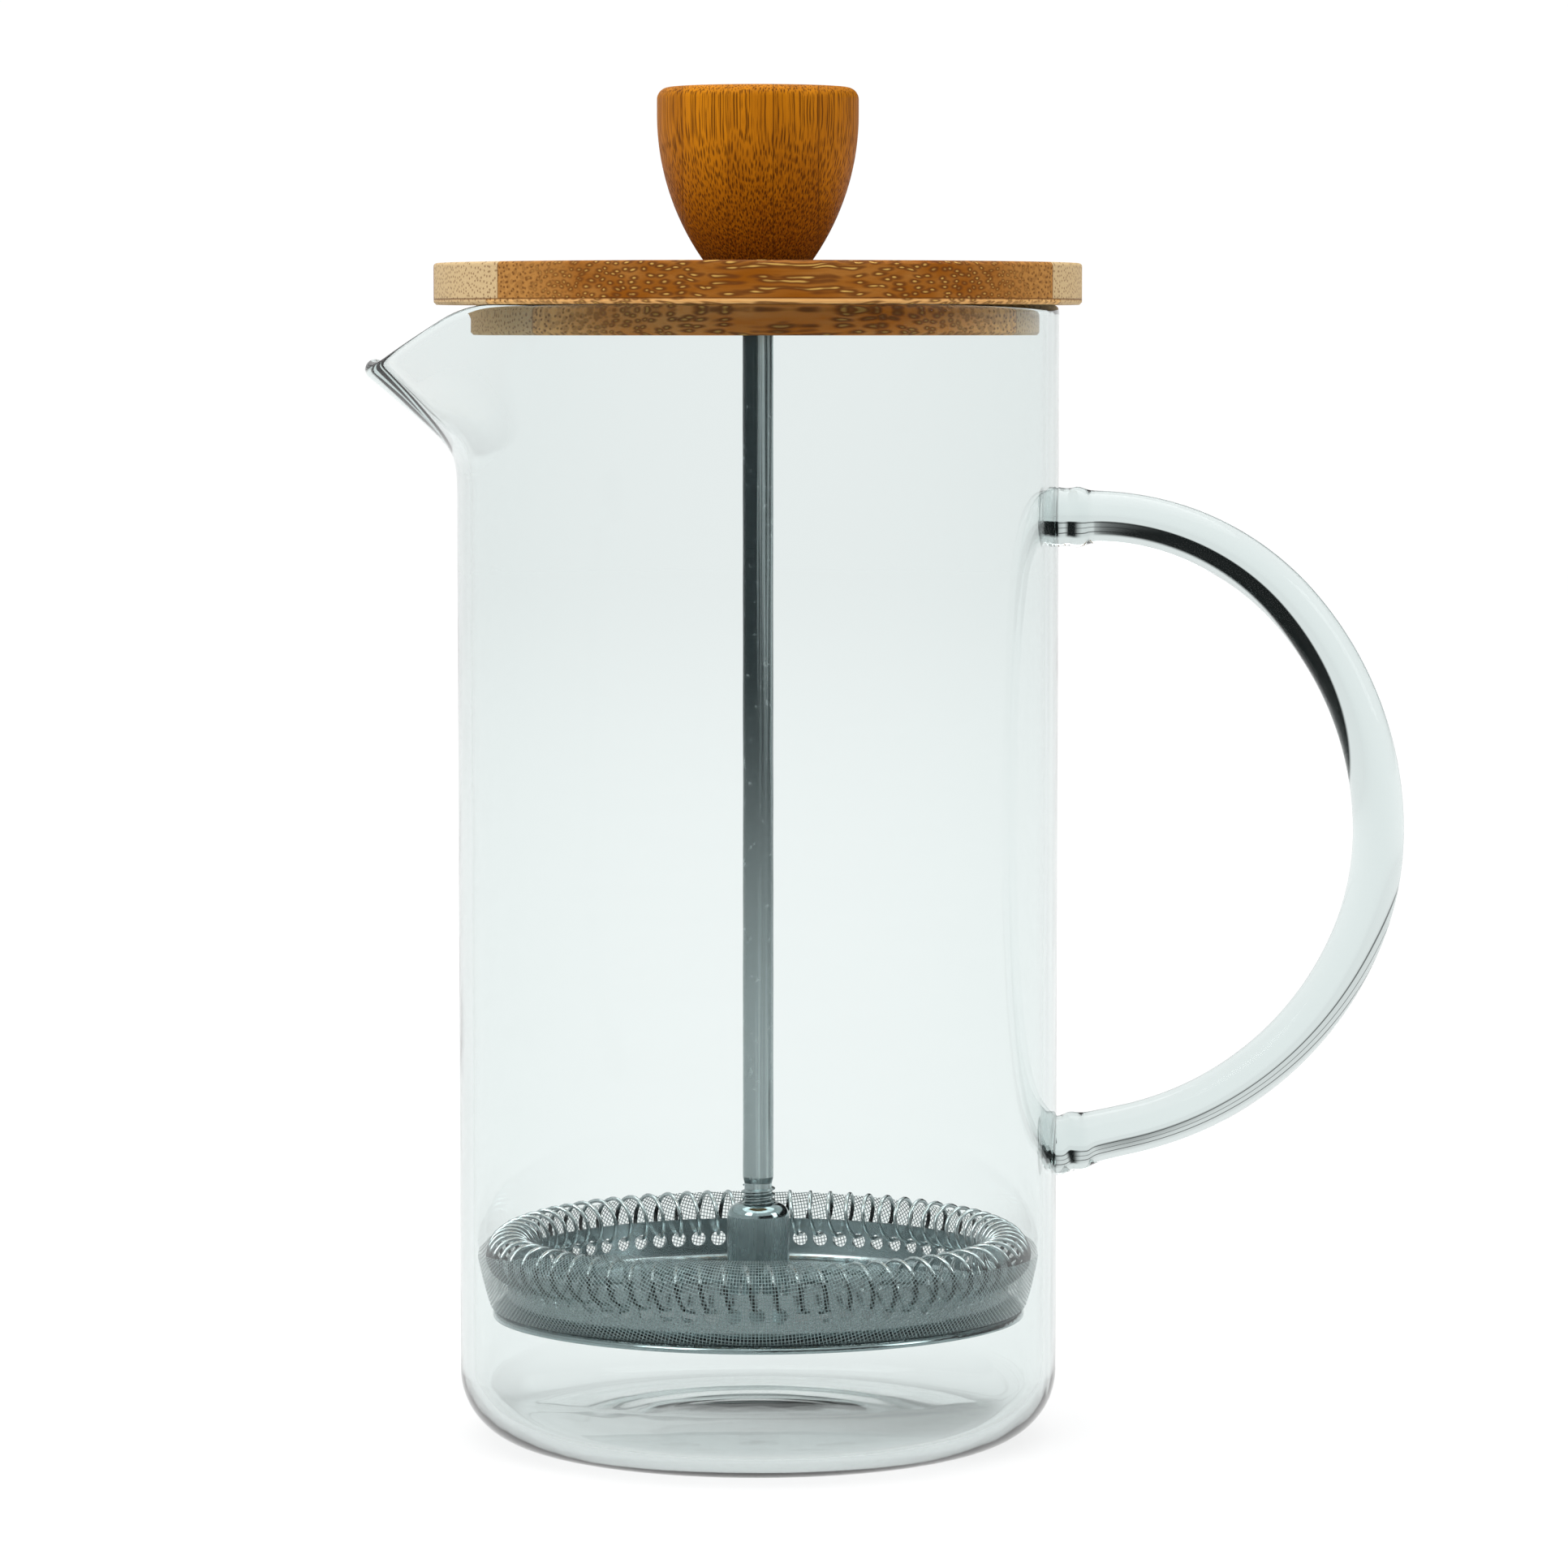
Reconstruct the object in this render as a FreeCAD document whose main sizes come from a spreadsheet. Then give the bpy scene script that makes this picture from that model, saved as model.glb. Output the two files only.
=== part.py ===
import FreeCAD, Part
import math
import os

import Sketcher
from FreeCAD import Placement, Rotation, Vector

# Driving sizes in millimetres and degrees, one sheet cell each
SIZES = {
    # Beaker of blown glass
    "glass_diameter": 70.0,
    "glass_height": 132.5,
    "glass_wall": 1.6,
    "glass_floor": 3.2,
    "base_corner": 8.0,
    "inner_corner": 6.0,
    "rim_round": 0.5,
    # Pouring lip drawn out of the rim
    "lip_reach": 46.2,
    "lip_drop": 7.6,
    "lip_root_drop": 17.0,
    "lip_tip_round": 3.0,
    "lip_half_width": 20.0,
    "lip_rim_slope": 30.7,
    "lip_rim_bend": 12.7,
    # Handle bent from a solid glass rod
    "handle_rod": 6.0,
    "handle_reach": 75.55,
    "handle_level": 71.0,
    "upper_sweep_radius": 39.7,
    "upper_sweep_angle": 41.9,
    "upper_shoulder_radius": 31.2,
    "lower_sweep_radius": 33.0,
    "lower_sweep_angle": 21.9,
    "lower_shoulder_radius": 37.6,
    "lower_slope": 12.5,
    "weld_flare": 1.1,
    "weld_length": 2.4,
    # Lid of two glued bamboo plies with a steel guide bush
    "lid_diameter": 75.2,
    "lid_top_ply": 4.2,
    "lid_flange": 0.6,
    "plug_depth": 3.5,
    "plug_gap": 0.7,
    "lid_edge_round": 0.4,
    "plug_chamfer": 0.3,
    "bush_wall": 0.9,
    "bush_flange": 1.6,
    "bush_flange_thickness": 0.6,
    "bush_play": 0.15,
    # Turned bamboo knob with a threaded insert
    "knob_diameter": 23.4,
    "knob_foot": 12.2,
    "knob_height": 20.3,
    "knob_belly": 17.2,
    "knob_top_round": 1.4,
    "insert_diameter": 6.6,
    "insert_length": 12.0,
    # Steel rod with a rolled metric thread
    "rod_diameter": 3.6,
    "thread_diameter": 4.0,
    "thread_pitch": 0.7,
    "thread_core": 3.24,
    "thread_show": 2.4,
    # Filter stack clamped between the domed hub and the nut
    "filter_height": 14.8,
    "sheet": 0.4,
    "hub_diameter": 7.3,
    "hub_height": 11.1,
    "hub_dome": 1.4,
    "hub_dome_round": 1.6,
    "hub_land": 0.3,
    "nut_flats": 7.0,
    "nut_height": 3.2,
    # Spring plate
    "spring_ring": 58.4,
    "plate_wall": 5.3,
    "plate_bend": 1.2,
    "eye_count": 72,
    "eye_diameter": 1.8,
    "eye_height": 2.9,
    "drain_ring": 40.2,
    "drain_diameter": 5.4,
    "drain_count": 12,
    "inner_drain_ring": 24.6,
    "inner_drain_diameter": 4.6,
    "inner_drain_count": 6,
    # Coil spring laced through the eyes of the plate
    "coil_diameter": 5.7,
    "coil_wire": 0.5,
    "coil_lift": 0.45,
    "coil_join": 50.0,
    # Cup of woven mesh
    "mesh_sheet": 0.3,
    "mesh_gap": 0.3,
    "mesh_height": 7.9,
    "mesh_belly": 7.1,
    "mesh_taper": 1.5,
    "mesh_bend": 0.8,
    # Bottom plate
    "cross_gap": 2.2,
    "cross_rim": 0.8,
    "cross_bend": 0.6,
    # Gap between pieces that are glued, pressed or screwed together
    "fit_gap": 0.05,
}

doc = FreeCAD.newDocument("TeaPress")
sizes = doc.addObject("Spreadsheet::Sheet", "Sizes")
for row, (alias, size) in enumerate(SIZES.items(), start=1):
    sizes.set(f"A{row}", alias.replace("_", " "))
    sizes.set(f"B{row}", str(size))
    sizes.setAlias(f"B{row}", alias)
doc.recompute()

# Radii and levels that several pieces share, as sheet expressions
GLASS_R = "Sizes.glass_diameter / 2"
BORE_R = "(Sizes.glass_diameter / 2 - Sizes.glass_wall)"
RIM_Z = "Sizes.glass_height"
PLUG_Z = "(Sizes.glass_height - Sizes.plug_depth)"
GLUE_Z = "(Sizes.glass_height + Sizes.lid_flange)"
LID_Z = "(Sizes.glass_height + Sizes.lid_flange + Sizes.lid_top_ply)"
LID_R = "Sizes.lid_diameter / 2"
THREAD_R = "Sizes.thread_diameter / 2"
SCREW_R = "(Sizes.thread_diameter / 2 + Sizes.fit_gap)"
EASY_R = "(Sizes.thread_diameter / 2 + Sizes.bush_play)"
BUSH_R = f"({EASY_R} + Sizes.bush_wall)"
CROSS_Z = "(Sizes.filter_height + Sizes.cross_rim)"
NUT_TOP_Z = f"({CROSS_Z} - Sizes.sheet)"
NUT_Z = f"({NUT_TOP_Z} - Sizes.nut_height)"
PLATE_Z = f"({CROSS_Z} + Sizes.mesh_sheet)"
HUB_Z = f"({PLATE_Z} + Sizes.sheet)"
HUB_TOP_Z = f"({HUB_Z} + Sizes.hub_height)"
EYE_Z = f"({PLATE_Z} + Sizes.eye_height)"


def value(text):
    """The number that a sheet expression gives."""
    return float(sizes.evalExpression(text))


def new_body(label):
    """An empty body that becomes the piece of that name."""
    body = doc.addObject("PartDesign::Body", label)
    body.Label = label
    return body


def new_sketch(body, name, role, height=None):
    """A sketch on one of the body's own planes, raised to a height where one is given."""
    sketch = body.newObject("Sketcher::SketchObject", name)
    plane = next(item for item in body.Origin.OriginFeatures if item.Role == role)
    sketch.AttachmentSupport = [(plane, "")]
    sketch.MapMode = "FlatFace"
    if height is not None:
        sketch.setExpression("AttachmentOffset.Base.z", height)
    return sketch


def bind(sketch, constraint, text):
    """Adds a constraint whose size follows a sheet expression."""
    index = sketch.addConstraint(constraint)
    sketch.setExpression(f"Constraints[{index}]", text)


def pin(sketch, geometry, end, x, y):
    """Holds a point at the place that two sheet expressions give."""
    for kind, axis, text in (("DistanceX", -2, x), ("DistanceY", -1, y)):
        size = value(text)
        if abs(size) < 1e-9:
            sketch.addConstraint(Sketcher.Constraint("PointOnObject", geometry, end, axis))
        elif size > 0:
            bind(sketch, Sketcher.Constraint(kind, -1, 1, geometry, end, size), text)
        else:
            bind(sketch, Sketcher.Constraint(kind, geometry, end, -1, 1, -size), f"-({text})")


def arc_between(start, end, radius, turn):
    """The short arc from start to end, counter-clockwise for a turn of 1 and clockwise for -1."""
    chord = end - start
    side = Vector(-chord.y, chord.x, 0).normalize() * turn
    centre = (start + end) * 0.5 + side * math.sqrt(radius**2 - (chord.Length / 2) ** 2)
    first, last = (start, end) if turn > 0 else (end, start)
    angles = [math.atan2(point.y - centre.y, point.x - centre.x) for point in (first, last)]
    return Part.ArcOfCircle(Part.Circle(centre, Vector(0, 0, 1), radius), *angles)


def outline(sketch, corners, closed=True):
    """Draws corners joined by lines, or by an arc where a corner also names a radius and a turn."""
    points = [Vector(value(corner[0]), value(corner[1]), 0) for corner in corners]
    spans = len(corners) if closed else len(corners) - 1
    ends = []
    for index in range(spans):
        here, there = points[index], points[(index + 1) % len(points)]
        corner = corners[index]
        if len(corner) == 2:
            geometry = sketch.addGeometry(Part.LineSegment(here, there))
            ends.append((geometry, 1, 2))
        else:
            radius, turn = value(corner[2]), corner[3]
            geometry = sketch.addGeometry(arc_between(here, there, radius, turn))
            ends.append((geometry, 1, 2) if turn > 0 else (geometry, 2, 1))
    for index in range(spans if closed else spans - 1):
        geometry, _, last = ends[index]
        following, first, _ = ends[(index + 1) % spans]
        sketch.addConstraint(Sketcher.Constraint("Coincident", geometry, last, following, first))
    for index, corner in enumerate(corners):
        geometry, first, last = ends[min(index, spans - 1)]
        pin(sketch, geometry, first if index < spans else last, corner[0], corner[1])
    for index in range(spans):
        if len(corners[index]) > 2:
            radius = corners[index][2]
            bind(sketch, Sketcher.Constraint("Radius", ends[index][0], value(radius)), radius)


def turn_about(body, kind, name, sketch, axis):
    """A revolution or groove of a whole sketch about one of its axes."""
    feature = body.newObject(f"PartDesign::{kind}", name)
    feature.Profile = sketch
    feature.ReferenceAxis = (sketch, [axis])
    feature.Angle = 360
    return feature


def turned(label, corners):
    """A body turned about the upright axis from a half outline."""
    body = new_body(label)
    sketch = new_sketch(body, f"{label}_outline", "XZ_Plane")
    outline(sketch, corners)
    turn_about(body, "Revolution", f"{label}_turn", sketch, "V_Axis")
    return body


def circle(sketch, x, y, diameter):
    """A circle held by its centre and diameter."""
    centre = Vector(value(x), value(y), 0)
    ring = Part.Circle(centre, Vector(0, 0, 1), value(diameter) / 2)
    geometry = sketch.addGeometry(ring)
    pin(sketch, geometry, 3, x, y)
    bind(sketch, Sketcher.Constraint("Diameter", geometry, value(diameter)), diameter)


def drill_ring(body, name, role, place, diameter, count, start="0", depth=None):
    """A hole repeated round the upright axis, through everything where no depth is given."""
    sketch = new_sketch(body, f"{name}_circle", role, start)
    circle(sketch, *place, diameter)
    hole = body.newObject("PartDesign::Pocket", f"{name}_hole")
    hole.Profile = sketch
    hole.Reversed = True
    if depth is None:
        hole.Type = "ThroughAll"
    else:
        hole.setExpression("Length", depth)
    doc.recompute()
    ring = body.newObject("PartDesign::PolarPattern", f"{name}_ring")
    ring.Originals = [hole]
    upright = next(item for item in body.Origin.OriginFeatures if item.Role == "Z_Axis")
    ring.Axis = (upright, [""])
    ring.Angle = 360
    ring.setExpression("Occurrences", count)
    body.Tip = ring
    doc.recompute()


# Glass beaker: turned wall and floor, then the lip, then the hollow, then the dip of the rim
LIP_FLARE = (f"((Sizes.lip_reach - {GLASS_R}) / (Sizes.lip_root_drop - Sizes.lip_drop))")
LIP_TOP_X = f"(Sizes.lip_reach + Sizes.lip_drop * {LIP_FLARE})"
LIP_FOOT_DROP = "(Sizes.lip_root_drop * 1.25)"
LIP_FOOT_X = f"(Sizes.lip_reach - ({LIP_FOOT_DROP} - Sizes.lip_drop) * {LIP_FLARE})"
LIP_SLANT = f"(Sizes.glass_wall * sqrt(1 + {LIP_FLARE} ^ 2))"


def lip_section(body, name, tip_x, tip_round, back_x, back_y, height):
    """One level outline of the lip: a round nose with straight cheeks that run back into the wall."""
    sketch = new_sketch(body, name, "XY_Plane", height)
    nose_x, nose_r = value(tip_x) - value(tip_round), value(tip_round)
    rear = Vector(-value(back_x), value(back_y), 0)
    reach = Vector(rear.x + nose_x, rear.y, 0)
    lean = math.atan2(reach.y, reach.x) + math.acos(nose_r / reach.Length)
    touch = Vector(nose_r * math.cos(lean) - nose_x, nose_r * math.sin(lean), 0)
    mirror = [Vector(point.x, -point.y, 0) for point in (rear, touch)]
    nose = sketch.addGeometry(arc_between(touch, mirror[1], nose_r, 1))
    near = sketch.addGeometry(Part.LineSegment(mirror[1], mirror[0]))
    back = sketch.addGeometry(Part.LineSegment(mirror[0], rear))
    far = sketch.addGeometry(Part.LineSegment(rear, touch))
    sketch.addConstraint(Sketcher.Constraint("Tangent", nose, 2, near, 1))
    sketch.addConstraint(Sketcher.Constraint("Tangent", far, 2, nose, 1))
    sketch.addConstraint(Sketcher.Constraint("Coincident", near, 2, back, 1))
    sketch.addConstraint(Sketcher.Constraint("Coincident", back, 2, far, 1))
    bind(sketch, Sketcher.Constraint("Radius", nose, nose_r), tip_round)
    pin(sketch, nose, 3, f"-({tip_x} - {tip_round})", "0")
    pin(sketch, back, 1, f"-({back_x})", f"-({back_y})")
    pin(sketch, back, 2, f"-({back_x})", back_y)
    return sketch


def lip(body, kind, name, radius, inset, tip_round):
    """The lip as a ruled loft, narrow inside the wall below and wide at the rim."""
    back_x = f"(sqrt(({GLASS_R}) ^ 2 - Sizes.lip_half_width ^ 2) * {radius} / ({GLASS_R}))"
    back_y = f"(Sizes.lip_half_width * {radius} / ({GLASS_R}))"
    foot_z = f"(Sizes.glass_height - {LIP_FOOT_DROP})"
    foot = lip_section(
        body, f"{name}_foot", f"({LIP_FOOT_X} - {inset})", tip_round,
        f"({back_x} * 0.6)", f"({back_y} * 0.4)", foot_z,
    )
    top = lip_section(
        body, f"{name}_top", f"({LIP_TOP_X} - {inset})", tip_round, back_x, back_y, RIM_Z,
    )
    doc.recompute()
    loft = body.newObject(f"PartDesign::{kind}", name)
    loft.Profile = foot
    loft.Sections = [top]
    loft.Ruled = True
    doc.recompute()


beaker = turned("beaker", [
    ("0", "0"),
    (f"{GLASS_R} - Sizes.base_corner", "0", "Sizes.base_corner", 1),
    (GLASS_R, "Sizes.base_corner"),
    (GLASS_R, f"{RIM_Z} - Sizes.rim_round", "Sizes.rim_round", 1),
    (f"{GLASS_R} - Sizes.rim_round", RIM_Z),
    ("0", RIM_Z),
])
doc.recompute()
lip(beaker, "AdditiveLoft", "lip_outside", f"({GLASS_R})", "0", "Sizes.lip_tip_round")
hollow = new_sketch(beaker, "hollow_outline", "XZ_Plane")
outline(hollow, [
    ("0", "Sizes.glass_floor"),
    (f"{BORE_R} - Sizes.inner_corner", "Sizes.glass_floor", "Sizes.inner_corner", 1),
    (BORE_R, "Sizes.glass_floor + Sizes.inner_corner"),
    (BORE_R, f"{RIM_Z} - Sizes.rim_round", "Sizes.rim_round", -1),
    (f"{BORE_R} + Sizes.rim_round", RIM_Z),
    (f"{BORE_R} + Sizes.rim_round", f"{RIM_Z} + Sizes.glass_wall"),
    ("0", f"{RIM_Z} + Sizes.glass_wall"),
])
turn_about(beaker, "Groove", "hollow", hollow, "V_Axis")
doc.recompute()
lip(
    beaker, "SubtractiveLoft", "lip_inside", BORE_R, LIP_SLANT,
    "(Sizes.lip_tip_round - Sizes.glass_wall)",
)
DIP_X = "(Sizes.lip_reach - Sizes.lip_drop / tan(Sizes.lip_rim_slope))"
DIP_RUN = "(Sizes.lip_rim_bend * tan(Sizes.lip_rim_slope / 2))"
DIP_OUT = f"({LIP_TOP_X} + Sizes.lip_drop)"
dip = new_sketch(beaker, "rim_dip_outline", "XZ_Plane")
outline(dip, [
    (f"-({DIP_X} - {DIP_RUN})", RIM_Z, "Sizes.lip_rim_bend", 1),
    (
        f"-({DIP_X} + {DIP_RUN} * cos(Sizes.lip_rim_slope))",
        f"{RIM_Z} - {DIP_RUN} * sin(Sizes.lip_rim_slope)",
    ),
    (f"-{DIP_OUT}", f"{RIM_Z} - ({DIP_OUT} - {DIP_X}) * tan(Sizes.lip_rim_slope)"),
    (f"-{DIP_OUT}", f"{RIM_Z} + Sizes.lip_drop"),
    (f"-({DIP_X} - {DIP_RUN})", f"{RIM_Z} + Sizes.lip_drop"),
])
rim_dip = beaker.newObject("PartDesign::Pocket", "rim_dip")
rim_dip.Profile = dip
rim_dip.Type = "ThroughAll"
rim_dip.Midplane = True
doc.recompute()

# Glass handle: one rod swept up and down from its outermost point, flared at both welds
ROD_X = "(Sizes.handle_reach - Sizes.handle_rod / 2)"
INSIDE_X = "(Sizes.glass_diameter / 4)"
UP_X = f"({ROD_X} - Sizes.upper_sweep_radius * (1 - cos(Sizes.upper_sweep_angle)))"
UP_Z = "(Sizes.handle_level + Sizes.upper_sweep_radius * sin(Sizes.upper_sweep_angle))"
UPPER_WELD_Z = f"({UP_Z} + Sizes.upper_shoulder_radius * (1 - sin(Sizes.upper_sweep_angle)))"
LOW_X = f"({ROD_X} - Sizes.lower_sweep_radius * (1 - cos(Sizes.lower_sweep_angle)))"
LOW_Z = "(Sizes.handle_level - Sizes.lower_sweep_radius * sin(Sizes.lower_sweep_angle))"
SHOULDER_X = (
    f"({LOW_X} - Sizes.lower_shoulder_radius"
    " * (cos(Sizes.lower_sweep_angle) - sin(Sizes.lower_slope)))"
)
SHOULDER_Z = (
    f"({LOW_Z} - Sizes.lower_shoulder_radius"
    " * (cos(Sizes.lower_slope) - sin(Sizes.lower_sweep_angle)))"
)
LOWER_WELD_Z = f"({SHOULDER_Z} - ({SHOULDER_X} - {GLASS_R}) * tan(Sizes.lower_slope))"

handle = new_body("handle")
rod_circle = new_sketch(handle, "handle_circle", "XY_Plane", "Sizes.handle_level")
circle(rod_circle, ROD_X, "0", "Sizes.handle_rod")
upper_path = new_sketch(handle, "upper_path", "XZ_Plane")
outline(upper_path, [
    (ROD_X, "Sizes.handle_level", "Sizes.upper_sweep_radius", 1),
    (UP_X, UP_Z, "Sizes.upper_shoulder_radius", 1),
    (f"{UP_X} - Sizes.upper_shoulder_radius * cos(Sizes.upper_sweep_angle)", UPPER_WELD_Z),
    (INSIDE_X, UPPER_WELD_Z),
], closed=False)
lower_path = new_sketch(handle, "lower_path", "XZ_Plane")
outline(lower_path, [
    (ROD_X, "Sizes.handle_level", "Sizes.lower_sweep_radius", -1),
    (LOW_X, LOW_Z, "Sizes.lower_shoulder_radius", -1),
    (SHOULDER_X, SHOULDER_Z),
    (INSIDE_X, f"{SHOULDER_Z} - ({SHOULDER_X} - {INSIDE_X}) * tan(Sizes.lower_slope)"),
], closed=False)
doc.recompute()
for path in (upper_path, lower_path):
    sweep = handle.newObject("PartDesign::AdditivePipe", path.Name.replace("path", "sweep"))
    sweep.Profile = rod_circle
    sweep.Spine = (path, [f"Edge{index + 1}" for index in range(len(path.Shape.Edges))])
    doc.recompute()
FLARE_R = "(Sizes.handle_rod / 2 + Sizes.weld_flare)"
FLARE_END_R = "(Sizes.handle_rod / 2 - Sizes.fit_gap * 3)"
FLARE_BEND = (
    f"((Sizes.weld_length ^ 2 + ({FLARE_R} - {FLARE_END_R}) ^ 2) / 2 / ({FLARE_R} - {FLARE_END_R}))"
)
for name, level, slope in (
    ("upper_weld", UPPER_WELD_Z, "0"),
    ("lower_weld", LOWER_WELD_Z, "Sizes.lower_slope"),
):
    weld = new_sketch(handle, f"{name}_outline", "XZ_Plane")
    weld.AttachmentOffset = Placement(Vector(), Rotation(Vector(0, 0, 1), 1))
    weld.setExpression("AttachmentOffset.Base.x", GLASS_R)
    weld.setExpression("AttachmentOffset.Base.y", level)
    weld.setExpression("AttachmentOffset.Rotation.Angle", f"{slope} * 1 deg")
    outline(weld, [
        ("-Sizes.handle_rod", "0"),
        ("Sizes.weld_length", "0"),
        ("Sizes.weld_length", FLARE_END_R, FLARE_BEND, -1),
        ("0", FLARE_R),
        ("-Sizes.handle_rod", FLARE_R),
    ])
    turn_about(handle, "Revolution", name, weld, "H_Axis")
    doc.recompute()
wall_cut = new_sketch(handle, "wall_cut_outline", "XZ_Plane")
outline(wall_cut, [
    ("0", "0"),
    (GLASS_R, "0"),
    (GLASS_R, RIM_Z),
    ("0", RIM_Z),
])
turn_about(handle, "Groove", "wall_cut", wall_cut, "V_Axis")
doc.recompute()

# Lid: upper ply, lower ply with its plug, and the guide bush that the rod runs in
SOCKET_R = f"({BUSH_R} + Sizes.fit_gap)"
COLLAR_R = f"({BUSH_R} + Sizes.bush_flange)"
COLLAR_Z = f"({LID_Z} - Sizes.bush_flange_thickness)"
PLUG_R = f"({BORE_R} - Sizes.plug_gap)"
turned("lid_top_ply", [
    (SOCKET_R, GLUE_Z),
    (LID_R, GLUE_Z),
    (LID_R, f"{LID_Z} - Sizes.lid_edge_round", "Sizes.lid_edge_round", 1),
    (f"{LID_R} - Sizes.lid_edge_round", LID_Z),
    (f"{COLLAR_R} + Sizes.fit_gap", LID_Z),
    (f"{COLLAR_R} + Sizes.fit_gap", COLLAR_Z),
    (SOCKET_R, COLLAR_Z),
])
turned("lid_plug_ply", [
    (SOCKET_R, PLUG_Z),
    (f"{PLUG_R} - Sizes.plug_chamfer", PLUG_Z),
    (PLUG_R, f"{PLUG_Z} + Sizes.plug_chamfer"),
    (PLUG_R, RIM_Z),
    (f"{LID_R} - Sizes.plug_chamfer", RIM_Z),
    (LID_R, f"{RIM_Z} + Sizes.plug_chamfer"),
    (LID_R, GLUE_Z),
    (SOCKET_R, GLUE_Z),
])
turned("guide_bush", [
    (EASY_R, PLUG_Z),
    (BUSH_R, PLUG_Z),
    (BUSH_R, COLLAR_Z),
    (COLLAR_R, COLLAR_Z),
    (COLLAR_R, LID_Z),
    (EASY_R, LID_Z),
])

# Knob on its insert, both standing on the lid
KNOB_R = "Sizes.knob_diameter / 2"
KNOB_WAIST = "(Sizes.knob_diameter - Sizes.knob_foot) / 2"
KNOB_Z = f"({LID_Z} + Sizes.knob_height)"
INSERT_Z = f"({LID_Z} + Sizes.insert_length)"
turned("knob", [
    ("Sizes.insert_diameter / 2 + Sizes.fit_gap", LID_Z),
    (
        "Sizes.knob_foot / 2", LID_Z,
        f"(Sizes.knob_belly ^ 2 + ({KNOB_WAIST}) ^ 2) / 2 / ({KNOB_WAIST})", 1,
    ),
    (KNOB_R, f"{LID_Z} + Sizes.knob_belly"),
    (KNOB_R, f"{KNOB_Z} - Sizes.knob_top_round", "Sizes.knob_top_round", 1),
    (f"{KNOB_R} - Sizes.knob_top_round", KNOB_Z),
    ("0", KNOB_Z),
    ("0", f"{INSERT_Z} + Sizes.fit_gap"),
    ("Sizes.insert_diameter / 2 + Sizes.fit_gap", f"{INSERT_Z} + Sizes.fit_gap"),
])
turned("knob_insert", [
    (SCREW_R, LID_Z),
    ("Sizes.insert_diameter / 2", LID_Z),
    ("Sizes.insert_diameter / 2", INSERT_Z),
    (SCREW_R, INSERT_Z),
])

# Rod: plain shank, full thread in the knob, rolled thread in the filter stack
CORE_R = "Sizes.thread_core / 2"
SHANK_R = "Sizes.rod_diameter / 2"
THREAD_TOP_Z = f"({HUB_TOP_Z} + Sizes.thread_show)"
rod = turned("rod", [
    ("0", NUT_Z),
    (CORE_R, NUT_Z),
    (CORE_R, THREAD_TOP_Z),
    (SHANK_R, f"{THREAD_TOP_Z} + Sizes.thread_pitch"),
    (SHANK_R, f"{LID_Z} + Sizes.thread_pitch"),
    (THREAD_R, f"{LID_Z} + 2 * Sizes.thread_pitch"),
    (THREAD_R, f"{INSERT_Z} - Sizes.fit_gap"),
    ("0", f"{INSERT_Z} - Sizes.fit_gap"),
])
doc.recompute()
thread_outline = new_sketch(rod, "thread_outline", "XZ_Plane")
THREAD_ROOT_R = f"({CORE_R} - Sizes.fit_gap)"
outline(thread_outline, [
    (THREAD_ROOT_R, NUT_Z),
    (THREAD_R, f"{NUT_Z} + Sizes.thread_pitch * 0.35"),
    (THREAD_R, f"{NUT_Z} + Sizes.thread_pitch * 0.5"),
    (THREAD_ROOT_R, f"{NUT_Z} + Sizes.thread_pitch * 0.85"),
])
doc.recompute()
thread = rod.newObject("PartDesign::AdditiveHelix", "thread")
thread.Profile = thread_outline
thread.ReferenceAxis = (thread_outline, ["V_Axis"])
thread.Mode = 0
thread.setExpression("Pitch", "Sizes.thread_pitch")
thread.setExpression("Height", f"{THREAD_TOP_Z} - {NUT_Z} - Sizes.thread_pitch")
doc.recompute()

# Domed hub on top of the stack
turned("hub", [
    (SCREW_R, HUB_Z),
    ("Sizes.hub_diameter / 2", HUB_Z),
    ("Sizes.hub_diameter / 2", f"{HUB_TOP_Z} - Sizes.hub_dome", "Sizes.hub_dome_round", 1),
    (f"{SCREW_R} + Sizes.hub_land", HUB_TOP_Z),
    (SCREW_R, HUB_TOP_Z),
])

# Spring plate: pressed tray with drain holes in its floor and eyes round its wall
PLATE_OUT_R = "(Sizes.spring_ring / 2 + Sizes.sheet / 2)"
PLATE_IN_R = "(Sizes.spring_ring / 2 - Sizes.sheet / 2)"
PLATE_TOP_Z = f"({PLATE_Z} + Sizes.plate_wall)"
spring_plate = turned("spring_plate", [
    (EASY_R, PLATE_Z),
    (f"{PLATE_OUT_R} - Sizes.plate_bend", PLATE_Z, "Sizes.plate_bend", 1),
    (PLATE_OUT_R, f"{PLATE_Z} + Sizes.plate_bend"),
    (PLATE_OUT_R, PLATE_TOP_Z),
    (PLATE_IN_R, PLATE_TOP_Z),
    (PLATE_IN_R, f"{PLATE_Z} + Sizes.plate_bend", "Sizes.plate_bend - Sizes.sheet", -1),
    (f"{PLATE_OUT_R} - Sizes.plate_bend", HUB_Z),
    (EASY_R, HUB_Z),
])
doc.recompute()

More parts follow.
